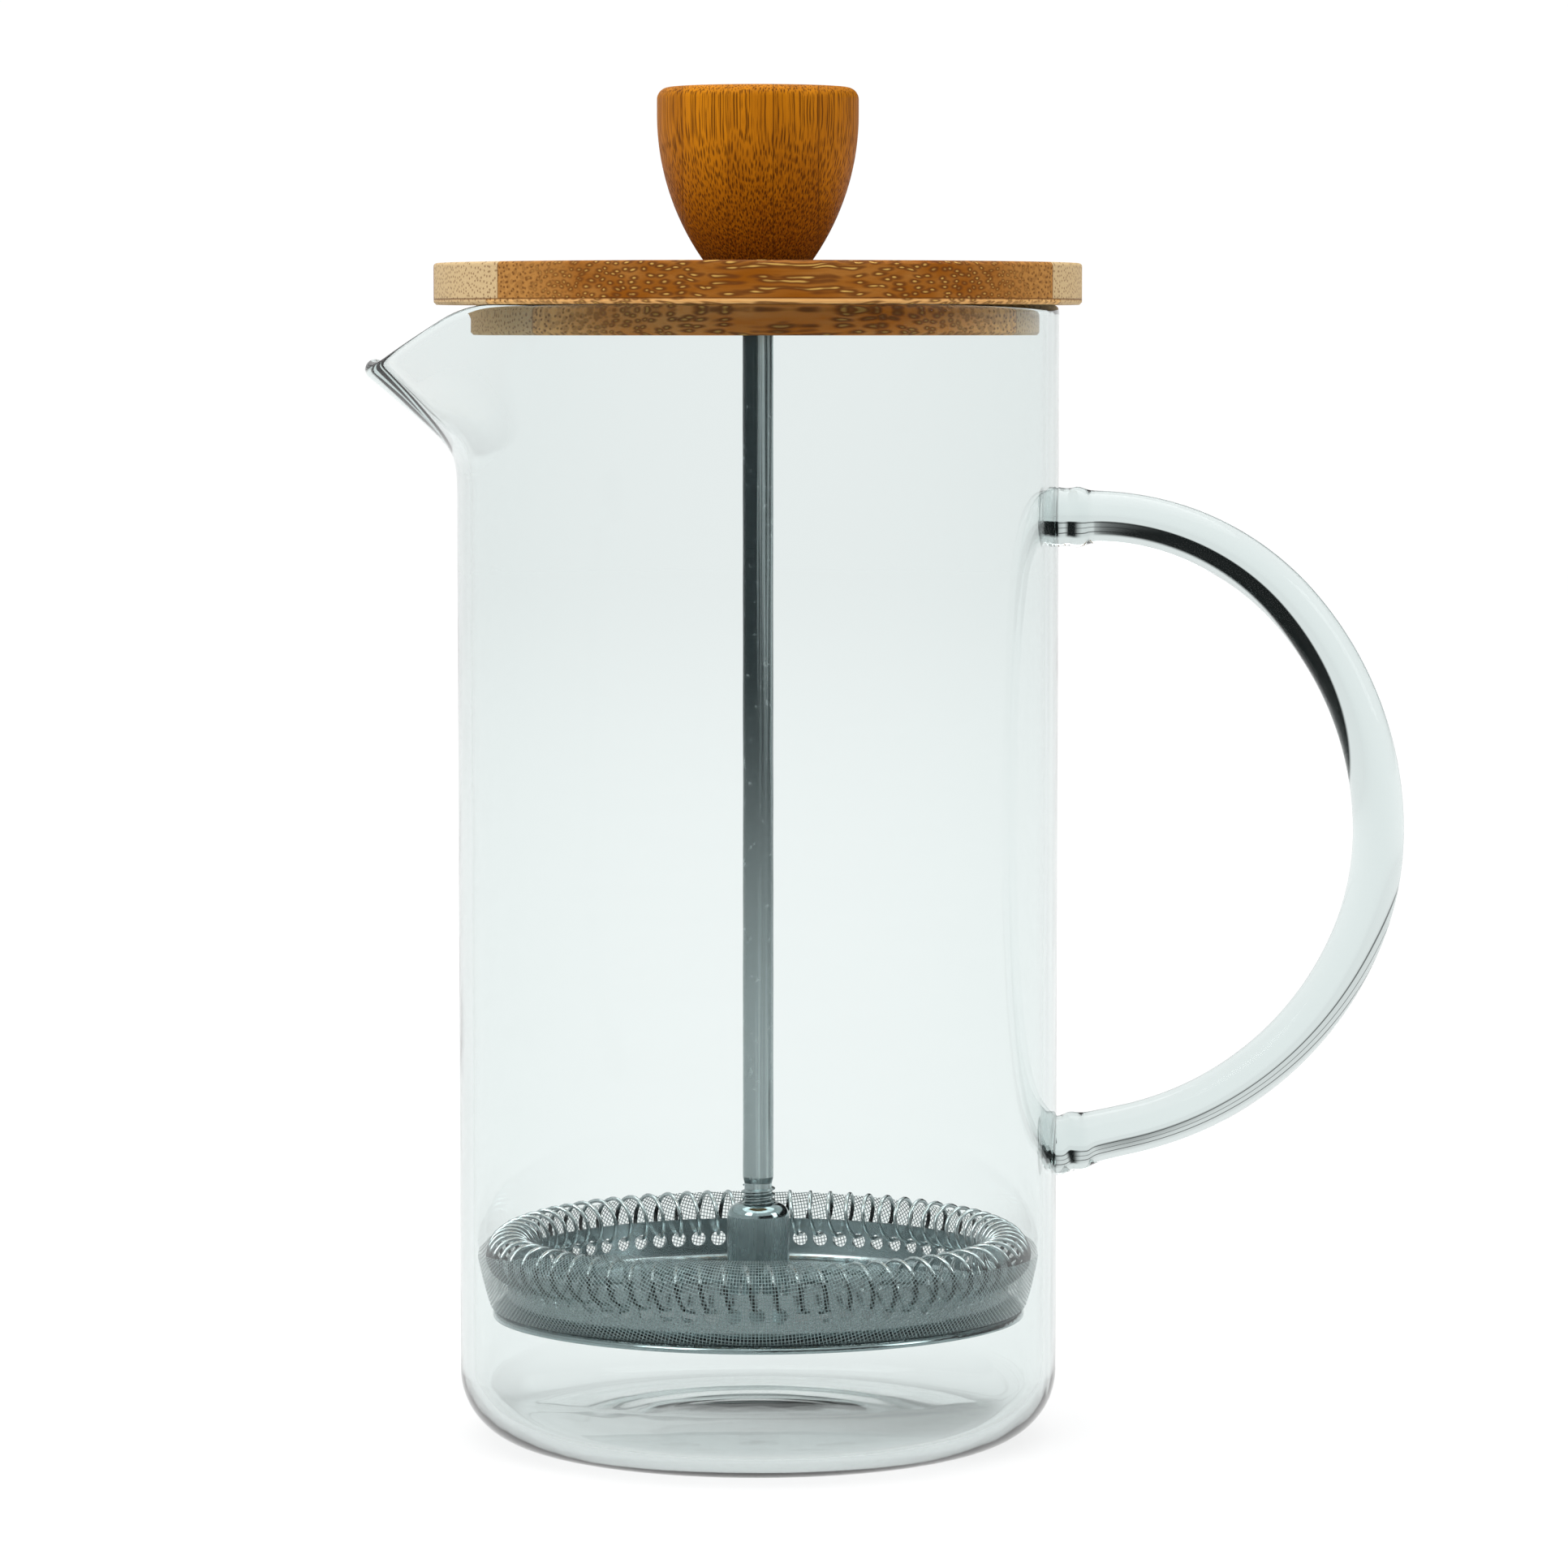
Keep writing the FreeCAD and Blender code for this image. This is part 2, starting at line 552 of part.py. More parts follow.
# Cup of woven mesh between the two plates, its wall standing round the coil
MESH_TOP_R = f"({BORE_R} - Sizes.mesh_gap)"
MESH_FOOT_R = f"({MESH_TOP_R} - Sizes.mesh_taper)"
MESH_RISE = "(Sizes.mesh_belly - Sizes.mesh_bend)"
MESH_ARC = f"({MESH_RISE} ^ 2 + Sizes.mesh_taper ^ 2) / 2 / Sizes.mesh_taper"
turned("filter_mesh", [
    (EASY_R, CROSS_Z),
    (f"{MESH_FOOT_R} - Sizes.mesh_bend", CROSS_Z, "Sizes.mesh_bend", 1),
    (MESH_FOOT_R, f"{CROSS_Z} + Sizes.mesh_bend", MESH_ARC, 1),
    (MESH_TOP_R, f"{CROSS_Z} + Sizes.mesh_belly"),
    (MESH_TOP_R, f"{CROSS_Z} + Sizes.mesh_height"),
    (f"{MESH_TOP_R} - Sizes.mesh_sheet", f"{CROSS_Z} + Sizes.mesh_height"),
    (f"{MESH_TOP_R} - Sizes.mesh_sheet", f"{CROSS_Z} + Sizes.mesh_belly", MESH_ARC, -1),
    (
        f"{MESH_FOOT_R} - Sizes.mesh_sheet", f"{CROSS_Z} + Sizes.mesh_bend",
        "Sizes.mesh_bend - Sizes.mesh_sheet", -1,
    ),
    (f"{MESH_FOOT_R} - Sizes.mesh_bend", PLATE_Z),
    (EASY_R, PLATE_Z),
])

# Bottom plate: flat disc with its edge turned down
CROSS_R = f"({BORE_R} - Sizes.cross_gap)"
cross_plate = turned("cross_plate", [
    (EASY_R, NUT_TOP_Z),
    (f"{CROSS_R} - Sizes.cross_bend", NUT_TOP_Z, "Sizes.cross_bend - Sizes.sheet", -1),
    (f"{CROSS_R} - Sizes.sheet", f"{CROSS_Z} - Sizes.cross_bend"),
    (f"{CROSS_R} - Sizes.sheet", "Sizes.filter_height"),
    (CROSS_R, "Sizes.filter_height"),
    (CROSS_R, f"{CROSS_Z} - Sizes.cross_bend", "Sizes.cross_bend", 1),
    (f"{CROSS_R} - Sizes.cross_bend", CROSS_Z),
    (EASY_R, CROSS_Z),
])
doc.recompute()
for plate, title in ((spring_plate, "plate"), (cross_plate, "cross")):
    for ring, prefix in (("drain", f"{title}_drain"), ("inner_drain", f"{title}_inner_drain")):
        drill_ring(
            plate, prefix, "XY_Plane", (f"Sizes.{ring}_ring / 2", "0"), f"Sizes.{ring}_diameter",
            f"Sizes.{ring}_count",
        )
drill_ring(
    spring_plate, "eye", "YZ_Plane", ("0", EYE_Z), "Sizes.eye_diameter", "Sizes.eye_count",
    start=f"{PLATE_IN_R} - Sizes.sheet", depth="3 * Sizes.sheet",
)

# Nut under the bottom plate
nut = new_body("base_nut")
nut_outline = new_sketch(nut, "nut_outline", "XY_Plane", NUT_Z)
NUT_CORNER = "(Sizes.nut_flats / 2 / cos(30))"
outline(nut_outline, [
    (f"{NUT_CORNER} * cos({angle})", f"{NUT_CORNER} * sin({angle})") for angle in range(0, 360, 60)
])
circle(nut_outline, "0", "0", f"2 * {SCREW_R}")
nut_pad = nut.newObject("PartDesign::Pad", "nut_pad")
nut_pad.Profile = nut_outline
nut_pad.setExpression("Length", "Sizes.nut_height")
doc.recompute()

# Coil spring: one wire wound round a ring, one turn to each eye, open at the join
RING_R = value("Sizes.spring_ring / 2")
WIRE_R = value("Sizes.coil_wire / 2")
TURN_R = value("(Sizes.coil_diameter - Sizes.coil_wire) / 2")
COIL_Z = value(f"{EYE_Z} + Sizes.coil_lift") + TURN_R
EYES = round(value("Sizes.eye_count"))
COIL_START = math.radians(value("Sizes.coil_join")) + math.pi / EYES
QUARTERS = 4


def coil_point(phase):
    """The wire's centre after winding through an angle."""
    azimuth = COIL_START + phase / EYES
    radius = RING_R + TURN_R * math.sin(phase)
    return Vector(
        radius * math.cos(azimuth), radius * math.sin(azimuth), COIL_Z + TURN_R * math.cos(phase)
    )


def coil_heading(phase):
    """The wire's direction after winding through an angle."""
    azimuth = COIL_START + phase / EYES
    radius = RING_R + TURN_R * math.sin(phase)
    outward = Vector(math.cos(azimuth), math.sin(azimuth), 0)
    along = Vector(-math.sin(azimuth), math.cos(azimuth), 0)
    drop = Vector(0, 0, -TURN_R * math.sin(phase))
    return (outward * (TURN_R * math.cos(phase)) + along * (radius / EYES) + drop).normalize()


def bow(start, heading, end):
    """The arc that leaves start along heading and arrives at end."""
    chord = end - start
    forward = Vector(chord).normalize()
    aside = heading - forward * heading.dot(forward)
    lean = math.atan2(aside.Length, heading.dot(forward))
    middle = (start + end) * 0.5 + aside.normalize() * (chord.Length / 2 * math.tan(lean / 2))
    return Part.Arc(start, middle, end).toShape()


def biarc(start, heading, end, arrival):
    """Two arcs that join two points smoothly."""
    chord = end - start
    bend = 2 * (1 - heading.dot(arrival))
    pull = chord.dot(heading + arrival)
    handle_length = (math.sqrt(pull**2 + bend * chord.dot(chord)) - pull) / bend
    near = start + heading * handle_length
    far = end - arrival * handle_length
    joint = (near + far) * 0.5
    return [bow(start, heading, joint), bow(joint, (far - near).normalize(), end)]


steps = [2 * math.pi * index / QUARTERS for index in range((EYES - 1) * QUARTERS + 1)]
spans = zip(steps, steps[1:])
arcs = [
    arc
    for first, last in spans
    for arc in biarc(coil_point(first), coil_heading(first), coil_point(last), coil_heading(last))
]
section = Part.Wire(Part.makeCircle(WIRE_R, coil_point(0), coil_heading(0)))
coil = doc.addObject("Part::Feature", "coil_spring")
coil.Label = "coil_spring"
coil.Shape = Part.Wire(arcs).makePipeShell([section], True, False)

# Least gap of the wire to itself, between points at least half a turn apart
SAMPLES = 48
trail = [coil_point(2 * math.pi * index / SAMPLES) for index in range(3 * SAMPLES)]
apart = [
    (trail[index] - trail[other]).Length
    for index in range(SAMPLES)
    for other in range(index + SAMPLES // 2, len(trail))
]
print(f"coil spring: least gap to itself {min(apart) - 2 * WIRE_R:.2f} mm")
print(f"coil spring: tightest bend {min(arc.Curve.Radius for arc in arcs):.2f} mm")

# Checks, then one file for each piece
doc.recompute()
PIECES = [
    "beaker", "handle", "lid_top_ply", "lid_plug_ply", "guide_bush", "knob", "knob_insert", "rod",
    "hub", "spring_plate", "coil_spring", "filter_mesh", "cross_plate", "base_nut",
]
for item in doc.Objects:
    if {"Invalid", "Error"} & set(item.State):
        raise RuntimeError(f"{item.Label} did not build: {item.State}")
pieces = [doc.getObjectsByLabel(label)[0] for label in PIECES]
for piece in pieces:
    shape = piece.Shape
    if shape.isNull() or not shape.isValid() or len(shape.Solids) != 1:
        raise RuntimeError(f"{piece.Label} is not one sound solid")
    print(f"{piece.Label}: {shape.Volume:.1f} mm3")
os.makedirs("parts", exist_ok=True)
for piece in pieces:
    piece.Shape.exportStep(os.path.join("parts", f"{piece.Label}.step"))
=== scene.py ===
"""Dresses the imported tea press: blown glass, bamboo, worked steel and a woven filter."""

import math

import bmesh
import bpy
from bpy.props import FloatProperty, FloatVectorProperty, IntProperty, PointerProperty
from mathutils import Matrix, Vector


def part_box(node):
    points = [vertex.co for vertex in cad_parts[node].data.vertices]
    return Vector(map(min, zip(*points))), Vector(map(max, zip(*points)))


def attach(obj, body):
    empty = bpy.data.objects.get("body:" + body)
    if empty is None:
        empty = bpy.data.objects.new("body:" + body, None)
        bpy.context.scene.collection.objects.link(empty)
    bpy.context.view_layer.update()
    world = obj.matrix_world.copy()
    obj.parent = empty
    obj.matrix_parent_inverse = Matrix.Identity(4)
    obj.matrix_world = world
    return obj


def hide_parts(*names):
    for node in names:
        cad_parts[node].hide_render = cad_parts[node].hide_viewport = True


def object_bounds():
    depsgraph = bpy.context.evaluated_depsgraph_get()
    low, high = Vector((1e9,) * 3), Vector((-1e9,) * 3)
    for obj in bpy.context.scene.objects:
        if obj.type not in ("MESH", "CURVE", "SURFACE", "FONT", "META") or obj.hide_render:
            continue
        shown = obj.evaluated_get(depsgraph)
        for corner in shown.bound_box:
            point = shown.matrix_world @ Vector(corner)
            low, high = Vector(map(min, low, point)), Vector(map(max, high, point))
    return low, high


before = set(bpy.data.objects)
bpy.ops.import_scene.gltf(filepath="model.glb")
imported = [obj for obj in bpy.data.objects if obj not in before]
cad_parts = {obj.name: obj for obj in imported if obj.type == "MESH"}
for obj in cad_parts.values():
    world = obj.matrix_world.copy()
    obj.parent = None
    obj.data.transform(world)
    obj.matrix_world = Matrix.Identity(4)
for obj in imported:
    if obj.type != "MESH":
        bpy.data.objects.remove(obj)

bl_info = {
    "name": "Tea Press Dressing",
    "version": (1, 0, 0),
    "blender": (4, 5, 0),
    "location": "3D View > Sidebar > Tea Press",
    "description": "Gives the packed tea press its glass, bamboo, steel and studio",
    "category": "Object",
}

CAD_BOX = [list(corner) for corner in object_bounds()]
BEAKER_LOW, BEAKER_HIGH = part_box("beaker")
HANDLE_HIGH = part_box("handle")[1]
MESH_LOW, MESH_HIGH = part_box("filter_mesh")
LID_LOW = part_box("lid_top_ply")[0]
KNOB_LOW, KNOB_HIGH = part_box("knob")
MM = 0.001
RIGHT, BACK, UP = (1.0, 0.0, 0.0), (0.0, 1.0, 0.0), (0.0, 0.0, 1.0)
BLACK = (0.0, 0.0, 0.0)


def length(name, default, description):
    """A size in metres that shows in the user's own unit."""
    return FloatProperty(
        name=name, description=description, default=default, unit="LENGTH", precision=5
    )


def number(name, default, description, least=0.0):
    """A plain number."""
    return FloatProperty(name=name, description=description, default=default, min=least)


def turning(name, degrees, description):
    """An angle, given in degrees."""
    return FloatProperty(
        name=name, description=description, default=math.radians(degrees), subtype="ANGLE"
    )


def colour(name, default, description):
    """A linear colour."""
    return FloatVectorProperty(
        name=name, description=description, default=default, subtype="COLOR", min=0.0, max=1.0
    )


class PressGlassSettings(bpy.types.PropertyGroup):
    """Sizes and tint of the blown glass."""

    radius: length("Radius", BEAKER_HIGH.y, "Outside radius of the beaker")
    height: length("Height", BEAKER_HIGH.z, "Height of the rim above the table")
    wall: length("Wall", 1.6 * MM, "Thickness of the blown wall")
    floor: length("Floor", 1.9 * MM, "Thickness of the base")
    base_corner: length("Base corner", 8 * MM, "Outside rounding between base and wall")
    inner_corner: length("Inner corner", 6.4 * MM, "Inside rounding between base and wall")
    base_kick: length("Base kick", 0.4 * MM, "Height of the hollow under the base")
    lip_reach: length("Lip reach", -BEAKER_LOW.x, "Distance of the lip's tip from the axis")
    lip_drop: length("Lip drop", 7.6 * MM, "How far the tip lies below the rim")
    lip_root: length("Lip root", 17 * MM, "How far below the rim the lip leaves the wall")
    rim_bend: length("Rim bend", 12.7 * MM, "Radius of the rim where it turns down to the lip")
    rod: length("Handle rod", 6 * MM, "Diameter of the handle's glass rod")
    handle_reach: length("Handle reach", HANDLE_HIGH.x, "Distance of its outside from the axis")
    handle_level: length("Handle level", 71 * MM, "Height of the handle's outermost point")
    flare: length("Weld flare", 0.6 * MM, "How much the rod widens at its welds")
    flare_length: length("Flare length", 2.6 * MM, "Length of the widening at each weld")
    ior: number("IOR", 1.47, "Refractive index of the glass", 1.0)
    tint: colour("Tint", (0.975, 0.985, 0.983), "Tint that each wall takes on")
    absorb: colour("Clarity", (0.52, 0.63, 0.62), "Tint that thick glass takes on")
    depth: number("Tint depth", 135.0, "Strength of the tint per metre")


class PressBambooSettings(bpy.types.PropertyGroup):
    """Colours of the bamboo plies and the knob."""

    amber: colour("Amber", (0.215, 0.062, 0.002), "Body of the ripe side of a strip")
    amber_light: colour("Light amber", (0.40, 0.19, 0.048), "Body of the young side of a strip")
    # Painted light: the lower ply's colours are lifted well above the top ply's, to make up for the
    # shade it lies in under the lid and behind the glass.
    plug: colour("Plug", (0.50, 0.150, 0.010), "Body of the ripe side of the lower ply")
    plug_young_painted_lift: colour("Plug light", (0.68, 0.41, 0.155), "Body of the young side of the lower ply")
    straw: colour("Straw", (0.53, 0.39, 0.21), "Body of the pale strips")
    core: colour("Fibre core", (0.66, 0.40, 0.10), "Pale heart of each fibre bundle")
    sheath: colour("Fibre sheath", (0.095, 0.028, 0.005), "Dark sheath round each fibre bundle")
    # Painted light: the knob's body goes from a painted shade at its foot to a painted light at its
    # top; the lighter tone also colours fine fibres.
    knob: colour("Knob", (0.125, 0.025, 0.0), "Body of the oiled knob near its foot")
    knob_painted_light_and_fibres: colour("Knob light", (0.49, 0.172, 0.002), "Body of the oiled knob near its top")
    knob_dark: colour("Knob shade", (0.040, 0.008, 0.0), "Dark fibres of the oiled knob")
    bundle: length("Bundle spacing", 0.66 * MM, "Distance between fibre bundles")
    strip: length("Strip width", 20.2 * MM, "Width of one glued strip")
    slant: turning("Slant", 6.1, "Turn of the lid's grain")


class PressSteelSettings(bpy.types.PropertyGroup):
    """Colours of the metal pieces and sizes of the filter."""

    steel: colour("Steel", (0.275, 0.335, 0.34), "Stainless steel")
    # The bright and dark streaks are partly drawn marks and partly painted reflections.
    steel_light: colour("Bright streak", (0.50, 0.575, 0.58), "Light streaks of drawn steel")
    plate: colour("Plate", (0.42, 0.49, 0.50), "Pressed stainless sheet")
    hub: colour("Hub", (0.31, 0.39, 0.40), "Brushed steel of the hub")
    shade: colour("Dark streak", (0.022, 0.032, 0.034), "Dark streaks of drawn steel")
    wire: colour("Wire", (0.50, 0.56, 0.565), "Bright spring wire")
    weave: colour("Weave", (0.27, 0.345, 0.35), "Woven filter wire")
    brass: colour("Brass", (0.62, 0.42, 0.14), "Threaded brass")
    ring: length("Spring ring", 29.2 * MM, "Radius of the ring that the coil is wound on")
    ring_level: length("Spring level", 21.85 * MM, "Height of the coil's middle")
    turn: length("Coil turn", 2.6 * MM, "Radius of one turn of the coil")
    wire_radius: length("Wire radius", 0.25 * MM, "Radius of the coil's wire")
    turns: IntProperty(name="Turns", description="Turns round the ring", default=72, min=8)
    pitch: length("Weave pitch", 0.42 * MM, "Distance between two wires of the filter")
    mesh_wire: length("Weave wire", 0.086 * MM, "Width of one wire of the filter")
    sheet: length("Weave thickness", 0.04 * MM, "Thickness of the woven filter")


class PressStageSettings(bpy.types.PropertyGroup):
    """The floor, the light and the camera."""

    floor: colour("Floor", (0.20, 0.20, 0.20), "Pale table top")
    backdrop: colour("Backdrop", (1.0, 1.0, 1.0), "Paper behind the object")
    dark_band: colour("Dark band", (0.015, 0.017, 0.017), "Unlit part of the room above the paper")
    sky: number("Backdrop light", 1.02, "Brightness of the backdrop")
    glow: number("Floor glow", 0.74, "Light from under the pale floor")
    key: number("Key light", 26.0, "Power of the large soft light")
    fill: number("Fill light", 16.0, "Power of the side light")
    overhead: number("Overhead light", 2.4, "Strength of the light from above")
    lens: number("Lens", 136.0, "Focal length in millimetres", 1.0)
    distance: length("Distance", 690.4 * MM, "Distance of the camera from the axis")
    level: length("Level", 129.8 * MM, "Height of the camera")
    sideways: length("Sideways", 3.03 * MM, "Distance of the camera from the axis plane")
    tilt: turning("Tilt", 4.4, "Downward tilt of the camera")


class Value:
    """A shader socket that Python arithmetic can combine into Math nodes."""

    def __init__(self, paint, socket):
        self.paint = paint
        self.socket = socket

    def __add__(self, other):
        return self.paint.math("ADD", self, other)

    __radd__ = __add__

    def __sub__(self, other):
        return self.paint.math("SUBTRACT", self, other)

    def __rsub__(self, other):
        return self.paint.math("SUBTRACT", other, self)

    def __mul__(self, other):
        return self.paint.math("MULTIPLY", self, other)

    __rmul__ = __mul__

    def __truediv__(self, other):
        return self.paint.math("DIVIDE", self, other)

    def __rtruediv__(self, other):
        return self.paint.math("DIVIDE", other, self)

    def __pow__(self, other):
        return self.paint.math("POWER", self, other)

    def __rpow__(self, other):
        return self.paint.math("POWER", other, self)

    def __abs__(self):
        return self.paint.math("ABSOLUTE", self, 0.0)


class Paint:
    """Builds one node tree, a material's or the world's."""

    def __init__(self, tree):
        self.tree = tree
        self.tree.nodes.clear()

    def node(self, kind, settings=None, sockets=None, output=0):
        """Adds a node, sets it, then feeds its sockets, and gives one of its outputs."""
        made = self.tree.nodes.new(f"ShaderNode{kind}")
        for name, setting in (settings or {}).items():
            setattr(made, name, setting)
        for name, fed in (sockets or {}).items():
            if isinstance(fed, Value):
                self.tree.links.new(fed.socket, made.inputs[name])
            else:
                made.inputs[name].default_value = fed
        return Value(self, made.outputs[output]) if made.outputs else None

    def math(self, operation, first, second):
        return self.node("Math", {"operation": operation}, {0: first, 1: second})

    def fold(self, value):
        """The part of a value after its whole number."""
        return self.math("FRACT", value, 0.0)

    def whole(self, value):
        return self.math("FLOOR", value, 0.0)

    def larger(self, first, second):
        return self.math("MAXIMUM", first, second)

    def smaller(self, first, second):
        return self.math("MINIMUM", first, second)

    def ease(self, value, start, end):
        """Goes smoothly from 0 at start to 1 at end."""
        settings = {"interpolation_type": "SMOOTHSTEP"}
        return self.node("MapRange", settings, {0: value, 1: start, 2: end, 3: 0.0, 4: 1.0})

    def mix(self, share, first, second):
        """Mixes two colours. Of the node's sockets 6, 7 and output 2 are the ones for colours."""
        sockets = {0: share, 6: rgba(first), 7: rgba(second)}
        return self.node("Mix", {"data_type": "RGBA"}, sockets, output=2)

    def vector(self, operation, first, second, output=0):
        return self.node("VectorMath", {"operation": operation}, {0: first, 1: second}, output)

    def place(self):
        """Object coordinates in millimetres."""
        raw = self.node("TexCoord", output="Object")
        return self.vector("MULTIPLY", raw, (1000.0, 1000.0, 1000.0))

    def along(self, place, direction):
        """How far a place lies along a direction."""
        return self.vector("DOT_PRODUCT", place, tuple(direction), output="Value")

    def distance(self, place):
        """Distance of a place from the origin."""
        return self.node("VectorMath", {"operation": "LENGTH"}, {0: place}, output="Value")

    def chance(self, count, seed):
        """A random number for each whole number."""
        settings = {"noise_dimensions": "1D"}
        return self.node("TexWhiteNoise", settings, {"W": count + seed}, output="Value")

    def join(self, x, y, z):
        return self.node("CombineXYZ", None, {0: x, 1: y, 2: z})

    def noise(self, place, scale, detail=3.0, roughness=0.55):
        sockets = {"Vector": place, "Scale": scale, "Detail": detail, "Roughness": roughness}
        return self.node("TexNoise", None, sockets)

    def bump(self, height, strength, distance):
        """Relief, with its distance in millimetres."""
        sockets = {"Height": height, "Strength": strength, "Distance": distance * MM}
        return self.node("Bump", None, sockets, output="Normal")

    def surface(self, **sockets):
        """The main shader, linked to the output."""
        named = {name.replace("_", " "): fed for name, fed in sockets.items()}
        shader = self.node("BsdfPrincipled", None, named)
        self.node("OutputMaterial", None, {"Surface": shader})


def rgba(shade):
    """A colour with its alpha, or a socket as it is."""
    return shade if isinstance(shade, Value) else (*tuple(shade)[:3], 1.0)


def dimmed(shade, share):
    """A darker tone of a colour."""
    return tuple(part * share for part in tuple(shade)[:3])


def new_paint(name):
    """A new material and the paint that fills its nodes."""
    material = bpy.data.materials.new(name)
    material.use_nodes = True
    return material, Paint(material.node_tree)


def dress(node, material):
    """Gives a carried-over solid its material."""
    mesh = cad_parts[node].data
    mesh.materials.clear()
    mesh.materials.append(material)
    for polygon in mesh.polygons:
        polygon.material_index = 0


def new_object(name, mesh, material):
    """A new piece of the scene, smooth shaded."""
    mesh.materials.clear()
    mesh.materials.append(material)
    mesh.shade_smooth()
    piece = bpy.data.objects.new(name, mesh)
    bpy.context.scene.collection.objects.link(piece)
    return piece


def grid_mesh(name, rows, closed_rows=False):
    """A mesh from rings of points; a row of one point is a pole."""
    mesh = bpy.data.meshes.new(name)
    points, starts = [], []
    for row in rows:
        starts.append(len(points))
        points.extend(row)
    faces = []
    pairs = list(zip(range(len(rows)), range(1, len(rows))))
    if closed_rows:
        pairs.append((len(rows) - 1, 0))
    for low, high in pairs:
        count = max(len(rows[low]), len(rows[high]))
        for index in range(count):
            after = (index + 1) % count
            if len(rows[low]) == 1:
                faces.append((starts[low], starts[high] + after, starts[high] + index))
            elif len(rows[high]) == 1:
                faces.append((starts[low] + index, starts[low] + after, starts[high]))
            else:
                faces.append((
                    starts[low] + index, starts[low] + after,
                    starts[high] + after, starts[high] + index,
                ))
    mesh.from_pydata([tuple(point) for point in points], [], faces)
    mesh.update()
    return mesh


def face_outward(mesh):
    """Turns all faces of a closed mesh outward."""
    work = bmesh.new()
    work.from_mesh(mesh)
    bmesh.ops.recalc_face_normals(work, faces=work.faces)
    work.to_mesh(mesh)
    work.free()


def spread(spans):
    """Values over spans of (start, end, step), without the last end."""
    values = []
    for start, end, step in spans:
        count = max(1, round((end - start) / step))
        values += [start + (end - start) * index / count for index in range(count)]
    return values


class GlassForm:
    """The surfaces of the beaker with its drawn lip. Azimuth 0 points to the lip."""

    # The lip runs out over FADE degrees to each side and is rounded at its tip. It leaves the wall
    # softly, its rings begin at START below the rim, and the rim slopes down to the tip.
    FADE, TIP = 38.0, 0.09
    BLEND, STRAIGHT = 1.0 * MM, 30.0
    START = 21.5 * MM
    SLOPE = math.radians(30.7)
    SEARCH = 40

    # Towards the rim the glass grows thicker along the lip's middle, KEEL degrees to each side, and
    # thinner beside it.
    KEEL, KEEL_GAIN, THINNING = 4.5, 0.9, 0.4
    GROWTH, GROWTH_DELAY = 2.2, 0.7

    # The base is hollow below, and its floor rises in the middle, with faint rings at the back.
    HOLLOW = 0.8
    DOME = 0.2 * MM
    RIPPLE, RIPPLE_RATE, RIPPLE_REACH, RIPPLE_TURN = 0.06 * MM, 26.0, 1.6, 0.3

    # Numbers of rings.
    BASE, CORNER, LIP, CAP, INNER_CORNER, FLOOR = 12, 14, 36, 10, 12, 48

    def __init__(self, sizes, azimuths):
        self.sizes = sizes
        self.azimuths = azimuths
        self.slant = (sizes.lip_reach - sizes.radius) / (sizes.lip_root - sizes.lip_drop)
        self.low = sizes.height - self.START

    def stretch(self, level):
        """How far the lip's tip stands out of the wall at a level."""
        over = (level - (self.sizes.height - self.sizes.lip_root)) / self.BLEND
        soft = over if over > self.STRAIGHT else math.log1p(math.exp(over))
        return self.slant * self.BLEND * soft

    def share(self, azimuth):
        """How much of the tip's reach the lip has at an azimuth."""
        turn = abs(math.degrees(azimuth)) / self.FADE
        turn = math.hypot(turn, self.TIP) - self.TIP
        return (1 - turn) ** 2 if turn < 1 else 0.0

    def dip(self, out):
        """Height of the rim at a distance towards the lip."""
        height, bend = self.sizes.height, self.sizes.rim_bend
        knee = self.sizes.lip_reach - self.sizes.lip_drop / math.tan(self.SLOPE)
        run = bend * math.tan(self.SLOPE / 2)
        begin, end = knee - run, knee + run * math.cos(self.SLOPE)
        if out <= begin:
            return height
        if out < end:
            return height - bend + math.sqrt(bend ** 2 - (out - begin) ** 2)
        return height - run * math.sin(self.SLOPE) - (out - end) * math.tan(self.SLOPE)

    def outside(self, azimuth, level):
        """A point of the outside wall."""
        radius = self.sizes.radius + self.stretch(level) * self.share(azimuth)
        return Vector((-radius * math.cos(azimuth), radius * math.sin(azimuth), level))

    def outward(self, azimuth, level):
        """The outside wall's normal and its upward tangent."""
        turn, lift = 1e-4, 1e-5
        round_way = self.outside(azimuth + turn, level) - self.outside(azimuth - turn, level)
        upward = self.outside(azimuth, level + lift) - self.outside(azimuth, level - lift)
        return upward.cross(round_way).normalized(), upward.normalized()

    def top(self, azimuth):
        """Height of the rim at an azimuth."""
        low, high = self.low, self.sizes.height
        for _ in range(self.SEARCH):
            middle = (low + high) / 2
            out = -self.outside(azimuth, middle).x
            low, high = (middle, high) if middle < self.dip(out) else (low, middle)
        return low

    def thickness(self, azimuth, share):
        """Thickness of the glass at a share of the lip's height."""
        grown = min(1.0, max(0.0, share * self.GROWTH - self.GROWTH_DELAY))
        keel = math.exp(-((math.degrees(azimuth) / self.KEEL) ** 2))
        gain = self.KEEL_GAIN * keel - self.THINNING * self.share(azimuth)
        return self.sizes.wall * (1 + grown * gain)

    def ring(self, radius, level):
        """A round ring of points."""
        return [
            Vector((-radius * math.cos(a), radius * math.sin(a), level)) for a in self.azimuths
        ]

    def base_rows(self):
        """Rings from the base's middle round its corner."""
        kick, corner = self.sizes.base_kick, self.sizes.base_corner
        flat = self.sizes.radius - corner
        hollow = flat * self.HOLLOW
        rows = [[Vector((0, 0, kick))]]
        for index in range(1, self.BASE + 1):
            radius = flat * index / self.BASE
            rise = max(0.0, 1 - (radius / hollow) ** 2) ** 2
            rows.append(self.ring(radius, kick * rise))
        for index in range(1, self.CORNER + 1):
            turn = math.pi / 2 * index / self.CORNER
            rows.append(self.ring(flat + corner * math.sin(turn), corner * (1 - math.cos(turn))))
        return rows

